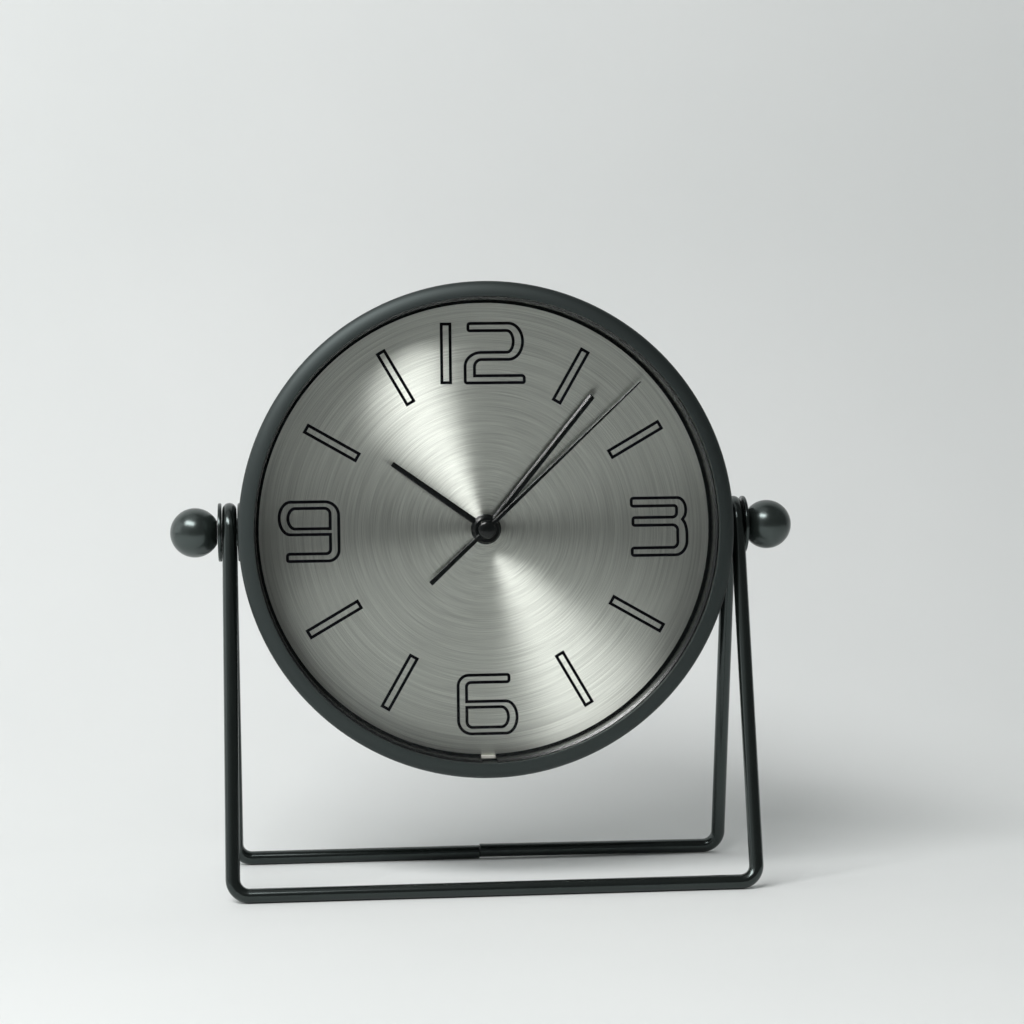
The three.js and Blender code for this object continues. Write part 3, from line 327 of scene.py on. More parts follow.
TEAL = (0.86, 1.0, 0.98, 1)
FINISH = {
    "wire_black": surface("wire_black", (0.0042, 0.0055, 0.0048), 0.2, 9, 0.5, 0.0015, (0.17, 0.23),
                          Specular_Tint=TEAL, Specular_IOR_Level=0.75),
    "knob_gunmetal": surface("knob_gunmetal", (0.012, 0.0155, 0.0138), 0.2, 5, 0.3, 0.001, (0.22, 0.29),
                             Specular_IOR_Level=1.0, Specular_Tint=TEAL),
    "case_paint": surface("case_paint", (0.0018, 0.0032, 0.0032), 0.12, 16, 0.28, 0.006, (0.48, 0.58),
                          Specular_Tint=TEAL, Specular_IOR_Level=0.8),
    "dial_steel": brushed_dial("dial_steel"),
    "hand_black": surface("hand_black", (0.002, 0.003, 0.003), 0.2, 5, 0.3, 0.0002, (0.16, 0.22),
                          Specular_IOR_Level=0.42),
    "clear_glass": clear_pane("clear_glass"),
    "gasket_rubber": surface("gasket_rubber", (0.004, 0.005, 0.005), 0.2, 6, 0.3, 0.01, (0.7, 0.85)),
    "black_plastic": surface("black_plastic", (0.017, 0.0185, 0.0185), 0.12, 14, 0.7, 0.05, (0.4, 0.54)),
    "white_plastic": surface("white_plastic", (0.75, 0.73, 0.67), 0.05, 8, 0.3, 0.006, (0.38, 0.5)),
    "plain_steel": surface("plain_steel", (0.5, 0.51, 0.52), 0.1, 5, 0.2, 0.003, (0.28, 0.42), Metallic=1.0),
    "train_brass": surface("train_brass", (0.56, 0.37, 0.11), 0.1, 5, 0.2, 0.003, (0.26, 0.4), Metallic=1.0),
    "copper_wire": surface("copper_wire", (0.45, 0.14, 0.05), 0.15, 4, 0.12, 0.02, (0.3, 0.42),
                           Metallic=0.8),
    "board_green": surface("board_green", (0.03, 0.11, 0.045), 0.15, 5, 0.3, 0.008, (0.35, 0.5)),
    "ferrite": surface("ferrite", (0.045, 0.043, 0.043), 0.15, 3, 0.15, 0.012, (0.55, 0.75)),
    "cell_jacket": surface("cell_jacket", (0.05, 0.09, 0.15), 0.12, 10, 0.4, 0.003, (0.25, 0.36)),
}
PRINT = surface("dial_print", (0.002, 0.002, 0.0035), 0.25, 4, 0.2, 0.002, (0.5, 0.6),
                Specular_IOR_Level=0.04)
MATT = surface("matt_black", (0.002, 0.003, 0.003), 0.2, 6, 0.3, 0.004, (0.8, 0.9),
               Specular_IOR_Level=0.05)
GLOSS = surface("gloss_black", (0.002, 0.003, 0.003), 0.2, 6, 0.3, 0.0001, (0.2, 0.26),
                Specular_IOR_Level=0.75)


# Pieces

def shade(piece, sharp):
    """Smooth shading, with creases where faces meet at more than an angle in degrees."""
    piece.data.shade_smooth()
    piece.data.set_sharp_from_angle(angle=math.radians(sharp))
    even = piece.modifiers.new("even shading", "WEIGHTED_NORMAL")
    even.keep_sharp = True
    even.weight = 100


def new_piece(name, shells, material):
    """One object from several closed shells of (vertices, faces), given in millimetres."""
    points, faces = [], []
    for shell_points, shell_faces in shells:
        start = len(points)
        points += [Vector(p) * MM for p in shell_points]
        faces += [[start + i for i in face] for face in shell_faces]
    mesh = bpy.data.meshes.new(name)
    mesh.from_pydata(points, [], faces)
    work = bmesh.new()
    work.from_mesh(mesh)
    bmesh.ops.remove_doubles(work, verts=work.verts, dist=MERGE)
    bmesh.ops.recalc_face_normals(work, faces=work.faces)
    work.to_mesh(mesh)
    work.free()
    mesh.materials.append(material)
    piece = bpy.data.objects.new(name, mesh)
    bpy.context.scene.collection.objects.link(piece)
    return piece


def cut_away(piece, shells):
    """Takes closed shells out of a piece."""
    tools = [new_piece(f"{piece.name}_tool", [shell], piece.data.materials[0]) for shell in shells]
    for tool in tools:
        cut = piece.modifiers.new("cut", "BOOLEAN")
        cut.operation = "DIFFERENCE"
        cut.solver = "EXACT"
        cut.object = tool
    graph = bpy.context.evaluated_depsgraph_get()
    mesh = bpy.data.meshes.new_from_object(piece.evaluated_get(graph))
    piece.modifiers.clear()
    piece.data = mesh
    for tool in tools:
        bpy.data.objects.remove(tool)


def dress(node, shells, cuts=(), sharp=CREASE, material=None):
    """A finer piece in the place of one solid, on the same body, in the finish of its slot unless a material is
    given.
    """
    piece = new_piece(f"{node}_finished", shells, material or FINISH[SLOT[node]])
    if cuts:
        cut_away(piece, cuts)
    shade(piece, sharp)
    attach(piece, BODY[node])
    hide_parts(node)


def add_on(name, shells, material, sharp=CREASE):
    """A piece of the drum that stands for no solid."""
    piece = new_piece(name, shells, material)
    shade(piece, sharp)
    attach(piece, "drum")


# Outlines and shells, in millimetres

def angles(start, end, steps):
    """Evenly spaced angles, both ends included."""
    return [start + (end - start) * i / steps for i in range(steps + 1)]


def arc(radius, start, end, steps, x=0.0, y=0.0):
    """Points along an arc, both ends included."""
    return [(x + radius * math.cos(a), y + radius * math.sin(a)) for a in angles(start, end, steps)]


def circle(radius, steps, x=0.0, y=0.0, hole=False):
    return arc(radius, 0, -TURN if hole else TURN, steps, x, y)[:-1]


def rounded(corners, steps=5):
    """A closed outline from (x, y, radius) corners, with an arc at each corner that has a radius."""
    outline = []
    for i, (x, y, radius) in enumerate(corners):
        corner = Vector((x, y))
        if radius == 0:
            outline.append((x, y))
            continue
        before = (Vector(corners[i - 1][:2]) - corner).normalized()
        after = (Vector(corners[(i + 1) % len(corners)][:2]) - corner).normalized()
        half = before.angle(after) / 2
        centre = corner + (before + after).normalized() * radius / math.sin(half)
        start = corner + before * radius / math.tan(half) - centre
        end = corner + after * radius / math.tan(half) - centre
        sweep = math.atan2(start.x * end.y - start.y * end.x, start.dot(end))
        outline += [tuple(centre + Matrix.Rotation(a, 2) @ start) for a in angles(0, sweep, steps)]
    return outline


def rectangle(left, right, bottom, top, radius=0.0, hole=False):
    corners = [(left, bottom, radius), (right, bottom, radius), (right, top, radius), (left, top, radius)]
    return rounded(corners[::-1] if hole else corners, 4)


def inset(loop, distance):
    """Moves a closed loop to its left by a distance."""
    moved = []
    for i, point in enumerate(loop):
        here = Vector(point)
        before = (here - Vector(loop[i - 1])).normalized()
        after = (Vector(loop[(i + 1) % len(loop)]) - here).normalized()
        left, next_left = Vector((-before.y, before.x)), Vector((-after.y, after.x))
        stretch = max(1 + left.dot(next_left), MITRE_LIMIT)
        moved.append(tuple(here + (left + next_left) * distance / stretch))
    return moved


def about_y(x=0.0, z=PIVOT):
    return lambda radius, along, angle: (x + radius * math.cos(angle), along, z + radius * math.sin(angle))


def about_x(side=1, y=0.0, z=PIVOT):
    return lambda radius, along, angle: (
        side * along, y + radius * math.cos(angle), z + radius * math.sin(angle))


def upright(x=0.0, z=PIVOT, angle=0.0):
    """Places an outline in a plane that faces the viewer, turned clockwise by an angle in degrees."""
    c, s = math.cos(math.radians(angle)), math.sin(math.radians(angle))
    return lambda u, v, depth: (x + u * c + v * s, depth, z - u * s + v * c)


def side_view(u, v, depth):
    return depth, u, v


def bridged(first, second, count):
    """Quads between two closed rings of points, each given by the index of its first point."""
    quads = []
    for i in range(count):
        j = (i + 1) % count
        quads.append((first + i, first + j, second + j, second + i))
    return quads


def turned(profile, place, steps):
    """A closed (radius, along) profile turned about an axis."""
    count = len(profile)
    points = [place(radius, along, TURN * i / steps) for i in range(steps) for radius, along in profile]
    still = [radius < ON_AXIS for radius, _ in profile]
    faces = []
    for i in range(steps):
        quads = bridged(i * count, (i + 1) % steps * count, count)
        faces += [quad for k, quad in enumerate(quads) if not (still[k] and still[(k + 1) % count])]
    return points, faces


def rod(radius, start, end, place, steps=32, edge=0.0):
    profile = [(0, start, 0), (radius, start, edge), (radius, end, edge), (0, end, 0)]
    return turned(rounded(profile, 3), place, steps)


def lofted(sections, place):
    """A solid through sections of (loops, depth) with matching points.

    The material lies to the left of each loop.
    """
    points, faces = [], []
    total = sum(len(loop) for loop in sections[0][0])
    last = len(sections) - 1
    for loops, depth in sections:
        for loop in loops:
            points += [place(x, y, depth) for x, y in loop]
    for level in range(last):
        start = level * total
        for loop in sections[level][0]:
            faces += bridged(start, start + total, len(loop))
            start += len(loop)
    for level in (0, last):
        flat = [[Vector((x, y, 0)) for x, y in loop] for loop in sections[level][0]]
        faces += [tuple(level * total + i for i in face) for face in tessellate_polygon(flat)]
    return points, faces


def stacked(loops, levels, place):
    """A solid through (inset, depth) levels of one outline and its holes."""
    return lofted([([inset(loop, distance) for loop in loops], depth) for distance, depth in levels], place)


def edged(front, back, edge):
    """Levels of a plate whose two rims are rounded."""
    rim = [(edge * (1 - math.sin(a)), edge * (1 - math.cos(a))) for a in angles(0, QUARTER, 3)]
    return [(d, front + h) for d, h in rim] + [(d, back - h) for d, h in reversed(rim)]


# Stand: one wire, swept through its bends

def bend(corner, before, after, radius, steps):
    """Stations of (point, direction) round one bend."""
    along = (corner - before).normalized()
    onward = (after - corner).normalized()
    turn = along.angle(onward)
    inward = (onward - along * along.dot(onward)).normalized()
    start = corner - along * radius * math.tan(turn / 2)
    stations = []
    for a in angles(0, turn, steps):
        point = start + along * radius * math.sin(a) + inward * radius * (1 - math.cos(a))
        stations.append((point, along * math.cos(a) + inward * math.sin(a)))
    return stations


def wire_stations():
    low, high = box("stand_wire")
    wire_x = high.x - WIRE_RADIUS
    rail = -low.y - WIRE_RADIUS
    arch = high.z - PIVOT - WIRE_RADIUS
    rise = PIVOT - WIRE_RADIUS
    splay = math.acos(arch / math.hypot(rail, rise)) - math.atan2(rise, rail)
    apex = PIVOT + arch / math.sin(splay)
    left_end = Vector((-END_GAP / 2, rail, WIRE_RADIUS))
    right_end = Vector((END_GAP / 2, rail, WIRE_RADIUS + END_STEP))
    corners = [
        (Vector((-wire_x, rail, WIRE_RADIUS)), CORNER_BEND, CORNER_STEPS),
        (Vector((-wire_x, 0, apex)), arch, ARCH_STEPS),
        (Vector((-wire_x, -rail, WIRE_RADIUS)), CORNER_BEND, CORNER_STEPS),
        (Vector((wire_x, -rail, WIRE_RADIUS)), CORNER_BEND, CORNER_STEPS),
        (Vector((wire_x, 0, apex)), arch, ARCH_STEPS),
        (Vector((wire_x, rail, WIRE_RADIUS)), CORNER_BEND, CORNER_STEPS),
    ]
    marks = [left_end, *[corner for corner, _, _ in corners], right_end]
    stations = []
    for i, (corner, radius, steps) in enumerate(corners):
        stations += bend(corner, marks[i], marks[i + 2], radius, steps)
    return [(left_end, stations[0][1]), *stations, (right_end, stations[-1][1])]


def swept(stations):
    """A round wire through stations, with a small chamfer at both ends."""
    (first, start), (last, end) = stations[0], stations[-1]
    thin = WIRE_RADIUS - WIRE_EDGE
    sections = [(first, start, thin), (first + start * WIRE_EDGE, start, WIRE_RADIUS)]
    sections += [(point, tangent, WIRE_RADIUS) for point, tangent in stations[1:-1]]
    sections += [(last - end * WIRE_EDGE, end, WIRE_RADIUS), (last, end, thin)]
    points, faces = [], []
    across = Vector((0, 0, 1))
    previous = start
    for point, tangent, radius in sections:
        across = previous.rotation_difference(tangent) @ across
        across = (across - tangent * across.dot(tangent)).normalized()
        side = tangent.cross(across)
        previous = tangent
        points += [point + across * u + side * v for u, v in circle(radius, WIRE_SIDES)]
    for level in range(len(sections) - 1):
        faces += bridged(level * WIRE_SIDES, (level + 1) * WIRE_SIDES, WIRE_SIDES)
    faces.append(tuple(range(WIRE_SIDES))[::-1])
    faces.append(tuple(range(len(points) - WIRE_SIDES, len(points))))
    return points, faces


dress("stand_wire", [swept(wire_stations())])


# Tilt pivots: ball knob, washer and collar on each side

collar = box("stand_wire")[1].x - 2 * WIRE_RADIUS - FIT
for side, sign in (("left", -1), ("right", 1)):
    place = about_x(sign)
    flat, tip = reach(f"{side}_ball_knob")
    start = math.asin(BALL_FLAT / BALL_RADIUS)
    ball = [(BALL_RADIUS * math.sin(a), tip - BALL_RADIUS * (1 + math.cos(a)))
            for a in angles(start, math.pi, BALL_STEPS)[:-1]]
    ball += [(0, tip), (0, flat + BALL_DEPTH), (STUD_HOLE, flat + BALL_DEPTH), (STUD_HOLE, flat)]
    dress(f"{side}_ball_knob", [turned(ball, place, KNOB_STEPS)])

    inner, outer = reach(f"{side}_washer")
    rim = box(f"{side}_washer")[1].z - PIVOT
    dress(f"{side}_washer", [turned(rounded([
        (STUD_HOLE, inner, 0.15), (rim, inner, 0.3), (rim, outer, 0.3), (STUD_HOLE, outer, 0.15),
    ], 4), place, KNOB_STEPS)])

    inner, outer = reach(f"{side}_pivot_bush")
    rim = box(f"{side}_pivot_bush")[1].z - PIVOT
    dress(f"{side}_pivot_bush", [turned(rounded([
        (STUD_HOLE, inner, 0), (rim, inner, 0.2), (rim, collar, 0.5), (COLLAR_NECK, collar, 0),
        (COLLAR_NECK, outer, 0.3), (STUD_HOLE, outer, 0),
    ], 4), place, KNOB_STEPS)])


# Case, with ledges for cover and dial

case_low, case_high = box("case_shell")
cover_low, cover_high = box("back_cover")
dial_low, dial_high = box("dial")
nut_low, nut_high = box("right_pivot_nut")
screw_places = [sum(box(f"cover_screw_{i}"), Vector()) / 2 for i in (1, 2, 3, 4)]

case_radius = case_high.x
case_inner = case_radius - CASE_WALL
cover_seat = case_inner - COVER_LEDGE_WIDTH
dial_seat = case_inner - DIAL_LEDGE_WIDTH
cover_ledge = (cover_low.y - FIT - LEDGE, cover_low.y - FIT)
dial_ledge = (dial_high.y + FIT, dial_high.y + FIT + LEDGE)
nut_room = (nut_high.y - nut_low.y) / 2 + FIT

case_profile = rounded([
    (case_radius, case_low.y, 0.2), (case_radius, case_high.y, 0.5), (case_inner, case_high.y, 0.4),
    (case_inner, cover_ledge[1], 0), (cover_seat, cover_ledge[1], 0), (cover_seat, cover_ledge[0], 0),
    (case_inner, cover_ledge[0], 0), (case_inner, dial_ledge[1], 0), (dial_seat, dial_ledge[1], 0),
    (dial_seat, dial_ledge[0], 0), (case_inner, dial_ledge[0], 0), (case_inner, case_low.y, 0),
], 4)
case_cuts = []
for sign in (-1, 1):
    place = about_x(sign)
    case_cuts += [
        rod(STUD_HOLE, case_inner - STUD_CUT["inside"], case_radius + STUD_CUT["outside"], place),
        rod(nut_room, case_inner - NUT_POCKET["deep"], case_inner - NUT_POCKET["shallow"], place),
    ]
for spot in screw_places:
    place = about_y(spot.x, spot.z)
    case_cuts.append(rod(SCREW_HOLE, cover_ledge[0] - OVERCUT, cover_ledge[1] + OVERCUT, place))
dress("case_shell", [turned(case_profile, about_y(), DRUM_STEPS)], case_cuts)


# Bezel, gasket and glass

bezel_low, bezel_high = box("bezel_ring")
bezel_radius = bezel_high.x
bezel_front, bezel_back = bezel_low.y, bezel_high.y
opening = bezel_radius - BEZEL_FACE
bore = bezel_radius - BEZEL_WALL
lip = bezel_front + BEZEL_LIP
shoulder = bezel_front + BEZEL_OUTER_ROUND
crest = opening + BEZEL_EDGE
bezel_profile = rounded([
    (opening, lip, 0), (opening, bezel_front, BEZEL_EDGE), (bezel_radius, bezel_front, 0),
], 4)[1:-1]
bezel_profile += [
    (crest + (bezel_radius - crest) * math.sin(a), shoulder - BEZEL_OUTER_ROUND * math.cos(a))
    for a in angles(0, QUARTER, CURVE_STEPS)[1:]
]
bezel_profile += rounded([
    (bezel_radius, shoulder, 0), (bezel_radius, bezel_back, 0.4), (bore, bezel_back, 0.2),
    (bore, lip, 0), (opening, lip, 0.15), (opening, bezel_front + BEZEL_EDGE, 0),
])[1:-1]
dress("bezel_ring", [turned(bezel_profile, about_y(), DRUM_STEPS)])

low, high = box("glass_gasket")
dress("glass_gasket", [turned(rounded([
    (opening + FIT, low.y, 0.15), (high.x, low.y, 0.1), (high.x, high.y, 0.1), (opening + FIT, high.y, 0.15),
], 3), about_y(), DRUM_STEPS)], material=MATT)

low, high = box("front_glass")
dress("front_glass", [rod(high.x, low.y, high.y, about_y(), DRUM_STEPS, 0.3)])


# Spacer ring: a matt foot on the dial and a gloss wall with a lip, both slit at six o'clock

def split_ring(outer, inner):
    half = math.asin(SPACER_SLIT / 2 / outer)
    start, end = half - QUARTER, TURN - half - QUARTER
    return [arc(outer, start, end, SPACER_STEPS) + arc(inner, end, start, SPACER_STEPS)]


low, high = box("spacer_ring")
spacer_inner = high.x - SPACER_WALL
foot = high.y - SPACER_FOOT
foot_ring = split_ring(high.x, spacer_inner)
dress("spacer_ring", [lofted([(foot_ring, foot), (foot_ring, high.y)], upright())], material=MATT)

wall_levels = [
    (SPACER_LIP["front"], low.y), (SPACER_LIP["back"], low.y + SPACER_LIP["depth"]), (SPACER_STEP, foot),
]
wall = lofted([(split_ring(high.x, spacer_inner + back), depth) for back, depth in wall_levels], upright())
add_on("spacer_wall", [wall], GLOSS, FINE_CREASE)

half_tab = SPACER_SLIT / 2 - TAB["room"]
tab = rectangle(-half_tab, half_tab, -spacer_inner - TAB["outer"], -spacer_inner - TAB["inner"], 0.15)
tab_levels = edged(dial_low.y - TAB["thickness"], dial_low.y, 0.12)
add_on("slit_tab", [stacked([tab], tab_levels, upright())], FINISH["white_plastic"])


# Dial

dial_hole = DIAL_BUSH + FIT
dress("dial", [turned(rounded([
    (dial_hole, dial_low.y, 0.05), (dial_high.x, dial_low.y, 0.15), (dial_high.x, dial_high.y, 0.1),
    (dial_hole, dial_high.y, 0),
], 3), about_y(), DRUM_STEPS)])


# Print on the dial: outlined figures and bars

class Pen:
    """Draws a closed line of straight runs and elliptical arcs, in millimetres and degrees."""

    def __init__(self):
        self.line = []

    def to(self, x, y):
        self.line.append((x, y))
        return self

    def arc(self, x, y, wide, high, start, end, steps=8):
        for a in angles(math.radians(start), math.radians(end), steps):
            self.line.append((x + wide * math.cos(a), y + high * math.sin(a)))
        return self


def figure_one():
    return [Pen().to(-1.23, -8.3).to(1.23, -8.3).to(1.23, 8.3).to(-1.23, 8.3).line]


def figure_two():
    pen = Pen().arc(-6.9, 7.85, 0.56, 0.56, 180, 90)
    pen.arc(4.02, 3.29, 4.03, 5.12, 90, -90, 28)
    pen.arc(-3.77, -3.93, 1.97, 2.1, 90, 180).to(-5.74, -6.43)
    pen.arc(7.67, -7.18, 0.75, 0.75, 90, 0).arc(8.02, -8.04, 0.4, 0.4, 0, -90)
    pen.arc(-7.8, -7.84, 0.6, 0.6, -90, -180).arc(-3.77, -3.75, 4.63, 3.94, 180, 90, 14)
    pen.arc(3.55, 3.265, 1.84, 3.075, -90, 90, 20).arc(-6.9, 6.9, 0.56, 0.56, 270, 180)
    return [pen.line]


def figure_three():
    pen = Pen().arc(-7.4, 7.54, 0.6, 0.6, 180, 90).arc(5.25, 4.64, 2.46, 3.5, 90, -30, 16).to(6.72, 1.93)
    pen.arc(5.0, -2.4, 3.0, 5.4, 41, 0).arc(4.67, -4.06, 3.33, 4.17, 0, -90, 14)
    pen.arc(-7.27, -7.63, 0.6, 0.6, -90, -180).arc(-7.27, -6.7, 0.6, 0.6, 180, 90)
    pen.arc(3.94, -4.5, 1.38, 1.6, -90, 0).arc(3.87, -1.16, 1.45, 1.52, 0, 90)
    pen.arc(-6.98, 0.96, 0.6, 0.6, 270, 180).arc(-6.98, 1.98, 0.6, 0.6, 180, 90)
    pen.arc(3.82, 3.81, 1.23, 1.23, -90, 0).arc(4.35, 5.07, 0.7, 0.8, 0, 90)
    pen.arc(-7.4, 6.47, 0.6, 0.6, 270, 180)
    return [pen.line]


def figure_nine():
    outline = Pen().arc(-5.2, 3.78, 3.19, 4.61, 270, 90, 28).arc(4.45, 4.49, 3.9, 3.9, 90, 0, 14)
    outline.arc(5.35, -5.25, 3.0, 3.1, 0, -90, 12).arc(-5.65, -7.85, 0.55, 0.5, -90, -180)
    outline.arc(-5.55, -6.93, 0.65, 0.65, 180, 90).arc(4.74, -5.05, 1.23, 1.23, -90, 0).to(5.97, -0.84)
    counter = Pen().arc(-3.9, 3.68, 2.02, 2.88, 270, 90, 20).arc(4.29, 4.91, 1.65, 1.65, 90, 0)
    counter.to(5.94, 0.8)
    return [outline.line, counter.line]


def shifted(lines, x, y, turn=1):
    return [[(turn * u + x, turn * v + y) for u, v in line] for line in lines]


def printed(line, place):
    """A closed printed line of even width."""
    front, back = dial_low.y - PRINT_THICKNESS, dial_low.y + PRINT_SINK
    points, faces = [], []
    for left, right in zip(inset(line, PRINT_LINE / 2), inset(line, -PRINT_LINE / 2)):
        points += [place(*left, front), place(*left, back), place(*right, back), place(*right, front)]
    for i in range(len(line)):
        faces += bridged(4 * i, 4 * ((i + 1) % len(line)), 4)
    return points, faces


lines = [
    *shifted(figure_one(), TWELVE["one"], PRINT_RADIUS),
    *shifted(figure_two(), TWELVE["two"], PRINT_RADIUS),
    *shifted(figure_three(), PRINT_RADIUS, 0),
    *shifted(figure_nine(), -PRINT_RADIUS, 0),
    *shifted(figure_nine(), 0, -PRINT_RADIUS, -1),
]
shells = [printed(line, upright()) for line in lines]
bar = rectangle(-BATON["half_width"], BATON["half_width"], BATON["start"], BATON["end"])
shells += [printed(bar, upright(angle=30 * hour)) for hour in (1, 2, 4, 5, 7, 8, 10, 11)]
add_on("dial_print", shells, PRINT, FINE_CREASE)


# Hands and cap

def hand_outline(hand):
    hub = hand["hub"]
    head = math.asin(hand["root"] / 2 / hub)
    if "tail" in hand:
        tail = hand["tail"]
        heel = math.asin(tail["root"] / 2 / hub)
        outline = arc(hub, QUARTER + head, 3 * QUARTER - heel, HUB_STEPS["half"])
        outline += [(-tail["tip"] / 2, -tail["length"]), (tail["tip"] / 2, -tail["length"])]
        outline += arc(hub, 3 * QUARTER + heel, 5 * QUARTER - head, HUB_STEPS["half"])
    else:
        outline = arc(hub, QUARTER + head, 5 * QUARTER - head, HUB_STEPS["whole"])
    outline += [(hand["tip"] / 2, hand["length"]), (-hand["tip"] / 2, hand["length"])]
    return outline


for name, hand in HANDS.items():
    low, high = box(name)
    wide, deep = hand["bevel"]
    outline = hand_outline(hand)
    eye = circle(hand["bore"], EYE_STEPS, hole=True)
    crown = [(x + hand.get("lean", 0.0), y) for x, y in inset(outline, wide)]
    dress(name, [lofted([
        ([crown, inset(eye, wide)], low.y), ([outline, eye], low.y + deep),
        ([outline, eye], high.y - HAND_EDGE), ([inset(outline, HAND_EDGE), inset(eye, HAND_EDGE)], high.y),
    ], upright(angle=hand["angle"]))], sharp=HAND_CREASE)

low, high = box("second_cap")
dome = [(high.x * math.sin(a), high.y - (high.y - low.y) * math.cos(a))
        for a in angles(0, QUARTER, CURVE_STEPS)]
dress("second_cap", [turned([*dome, (0, high.y)], about_y(), CAP_STEPS)])


# Back cover and battery door

door_low, door_high = box("battery_door")
hinge = JOINT["battery_door_swing"]
stem = JOINT["setting_knob_turn"]
hinge_place = about_x(1, hinge.y, hinge.z)
half_hole = DOOR_HALF_WIDTH + FIT
cover_loops = [
    circle(cover_high.x, DRUM_STEPS),
    rectangle(-half_hole, half_hole, door_low.z - PIVOT - FIT, door_high.z - PIVOT + FIT, 0.4, hole=True),
    circle(STEM_HOLE, HOLE_STEPS, stem.x, stem.z - PIVOT, hole=True),
    *[circle(SCREW_HOLE, HOLE_STEPS, spot.x, spot.z - PIVOT, hole=True) for spot in screw_places],
]
sockets = rod(PIN_RADIUS + PIN_ROOM, door_low.x - FIT, door_high.x + FIT, hinge_place, PIN_STEPS)
dress("back_cover", [stacked(cover_loops, edged(cover_low.y, cover_high.y, 0.25), upright())], [sockets])

hinge_radius = (cover_high.y - cover_low.y) / 2
door_profile = arc(hinge_radius, math.pi, TURN, HINGE_STEPS, hinge.y, hinge.z)
door_profile += rounded([
    (cover_high.y, hinge.z, 0), (cover_high.y, door_high.z, 0.4),
    (cover_low.y, door_high.z, 0.3), (cover_low.y, hinge.z, 0),
], 4)[1:-1]
rib_top = door_high.z - RIB["below_edge"]
rib = rectangle(-RIB["half_width"], RIB["half_width"], rib_top - RIB["height"], rib_top, 0.5)
rib_levels = [
    (0, cover_high.y - 0.8), (0, door_high.y - 0.4), (0.12, door_high.y - 0.12), (0.4, door_high.y),
]
pin_root = DOOR_HALF_WIDTH - PIN_SINK
dress("battery_door", [
    stacked([door_profile], edged(-DOOR_HALF_WIDTH, DOOR_HALF_WIDTH, 0.25), side_view),
    rod(PIN_RADIUS, door_low.x, -pin_root, hinge_place, PIN_STEPS, 0.15),
    rod(PIN_RADIUS, pin_root, door_high.x, hinge_place, PIN_STEPS, 0.15),
    stacked([rib], rib_levels, upright(z=0)),
])


# Cover screws with cross slots

for i, spot in enumerate(screw_places, 1):
    low, high = box(f"cover_screw_{i}")
    head = cover_high.y + FIT
    profile = [
        (0, low.y), (SCREW_POINT["radius"], low.y), (SCREW_SHANK, low.y + SCREW_POINT["length"]),
        (SCREW_SHANK, head), *[(radius, head + height) for radius, height in SCREW_HEAD],
        (SCREW_CROWN, high.y), (0, high.y),
    ]
    long, short = CROSS_SLOT["half_length"], CROSS_SLOT["half_width"]
    slot_levels = [(0, high.y - CROSS_SLOT["depth"]), (0, high.y + OVERCUT)]
    slots = []
    for u, v in ((long, short), (short, long)):
        cross = rectangle(spot.x - u, spot.x + u, spot.z - v, spot.z + v)
        slots.append(stacked([cross], slot_levels, upright(z=0)))
    dress(f"cover_screw_{i}", [turned(profile, about_y(spot.x, spot.z), SCREW_STEPS)], slots, SCREW_CREASE)


# Setting knob

def fluted(levels, x, z, flutes=12):
    """A grip through (radius, flute depth, along) levels about an axis along Y."""
    points = []
    for radius, depth, along in levels:
        for i in range(GRIP_STEPS):
            angle = TURN * i / GRIP_STEPS
            reached = radius - depth * (1 - math.cos(flutes * angle)) / 2
            points.append((x + reached * math.cos(angle), along, z + reached * math.sin(angle)))
    faces = [tuple(range(GRIP_STEPS)), tuple(range(len(points) - GRIP_STEPS, len(points)))]
    for level in range(len(levels) - 1):
        faces += bridged(level * GRIP_STEPS, (level + 1) * GRIP_STEPS, GRIP_STEPS)
    return points, faces


low, high = box("set_knob")
grip = high.z - stem.z
front, back = low.y, high.y
knob = fluted([
    (grip - 0.5, 0.2, front), (grip - 0.15, 0.4, front + 0.15), (grip, 0.5, front + 0.5),
    (grip, 0.5, back - 0.7), (grip - 0.2, 0.42, back - 0.2), (grip - 0.65, 0.2, back),
    (grip - 1.3, 0, back), (grip - 1.5, 0, back - 0.1), (grip - 1.65, 0, back - 0.4),
], stem.x, stem.z)
stem_bore = rod(STEM_HOLE, front - OVERCUT, front + STEM_DEPTH, about_y(stem.x, stem.z))
dress("set_knob", [knob], [stem_bore])


# Cell behind the door: sleeve with steel ends

low, high = box("battery_cell")
cell = (low + high) / 2
cell_radius = (high.z - low.z) / 2
cell_place = about_x(1, cell.y, cell.z)
minus = cell_radius - SLEEVE_LAP["minus"]
plus = cell_radius - SLEEVE_LAP["plus"]
sleeve_end = high.x - NUB["length"]
dress("battery_cell", [turned(rounded([
    (0, low.x + 0.3, 0), (minus, low.x + 0.3, 0), (minus, low.x, 0.1), (cell_radius, low.x, 0.7),
    (cell_radius, sleeve_end, 0.8), (plus, sleeve_end, 0.1), (plus, sleeve_end - 0.4, 0),
    (0, sleeve_end - 0.4, 0),
], 4), cell_place, CELL_STEPS)])
plus_end = rounded([
    (0, sleeve_end - 0.5, 0), (plus - 0.1, sleeve_end - 0.5, 0), (plus - 0.1, sleeve_end - 0.2, 0.1),
    (NUB["radius"], sleeve_end - 0.2, 0.2), (NUB["radius"], high.x, 0.4), (0, high.x, 0),
], 4)
add_on("cell_ends", [
    turned(plus_end, cell_place, NUB_STEPS),
    rod(minus - 0.2, low.x + 0.1, low.x + 0.5, cell_place, NUB_STEPS, 0.1),
], FINISH["plain_steel"])


# Every solid takes its finish, those that stay in view and those that a piece stands for

for name, node in frame["nodes"].items():
    node.data.materials.clear()
    node.data.materials.append(FINISH[SLOT[name]])


# Paper under and behind the clock, in metres

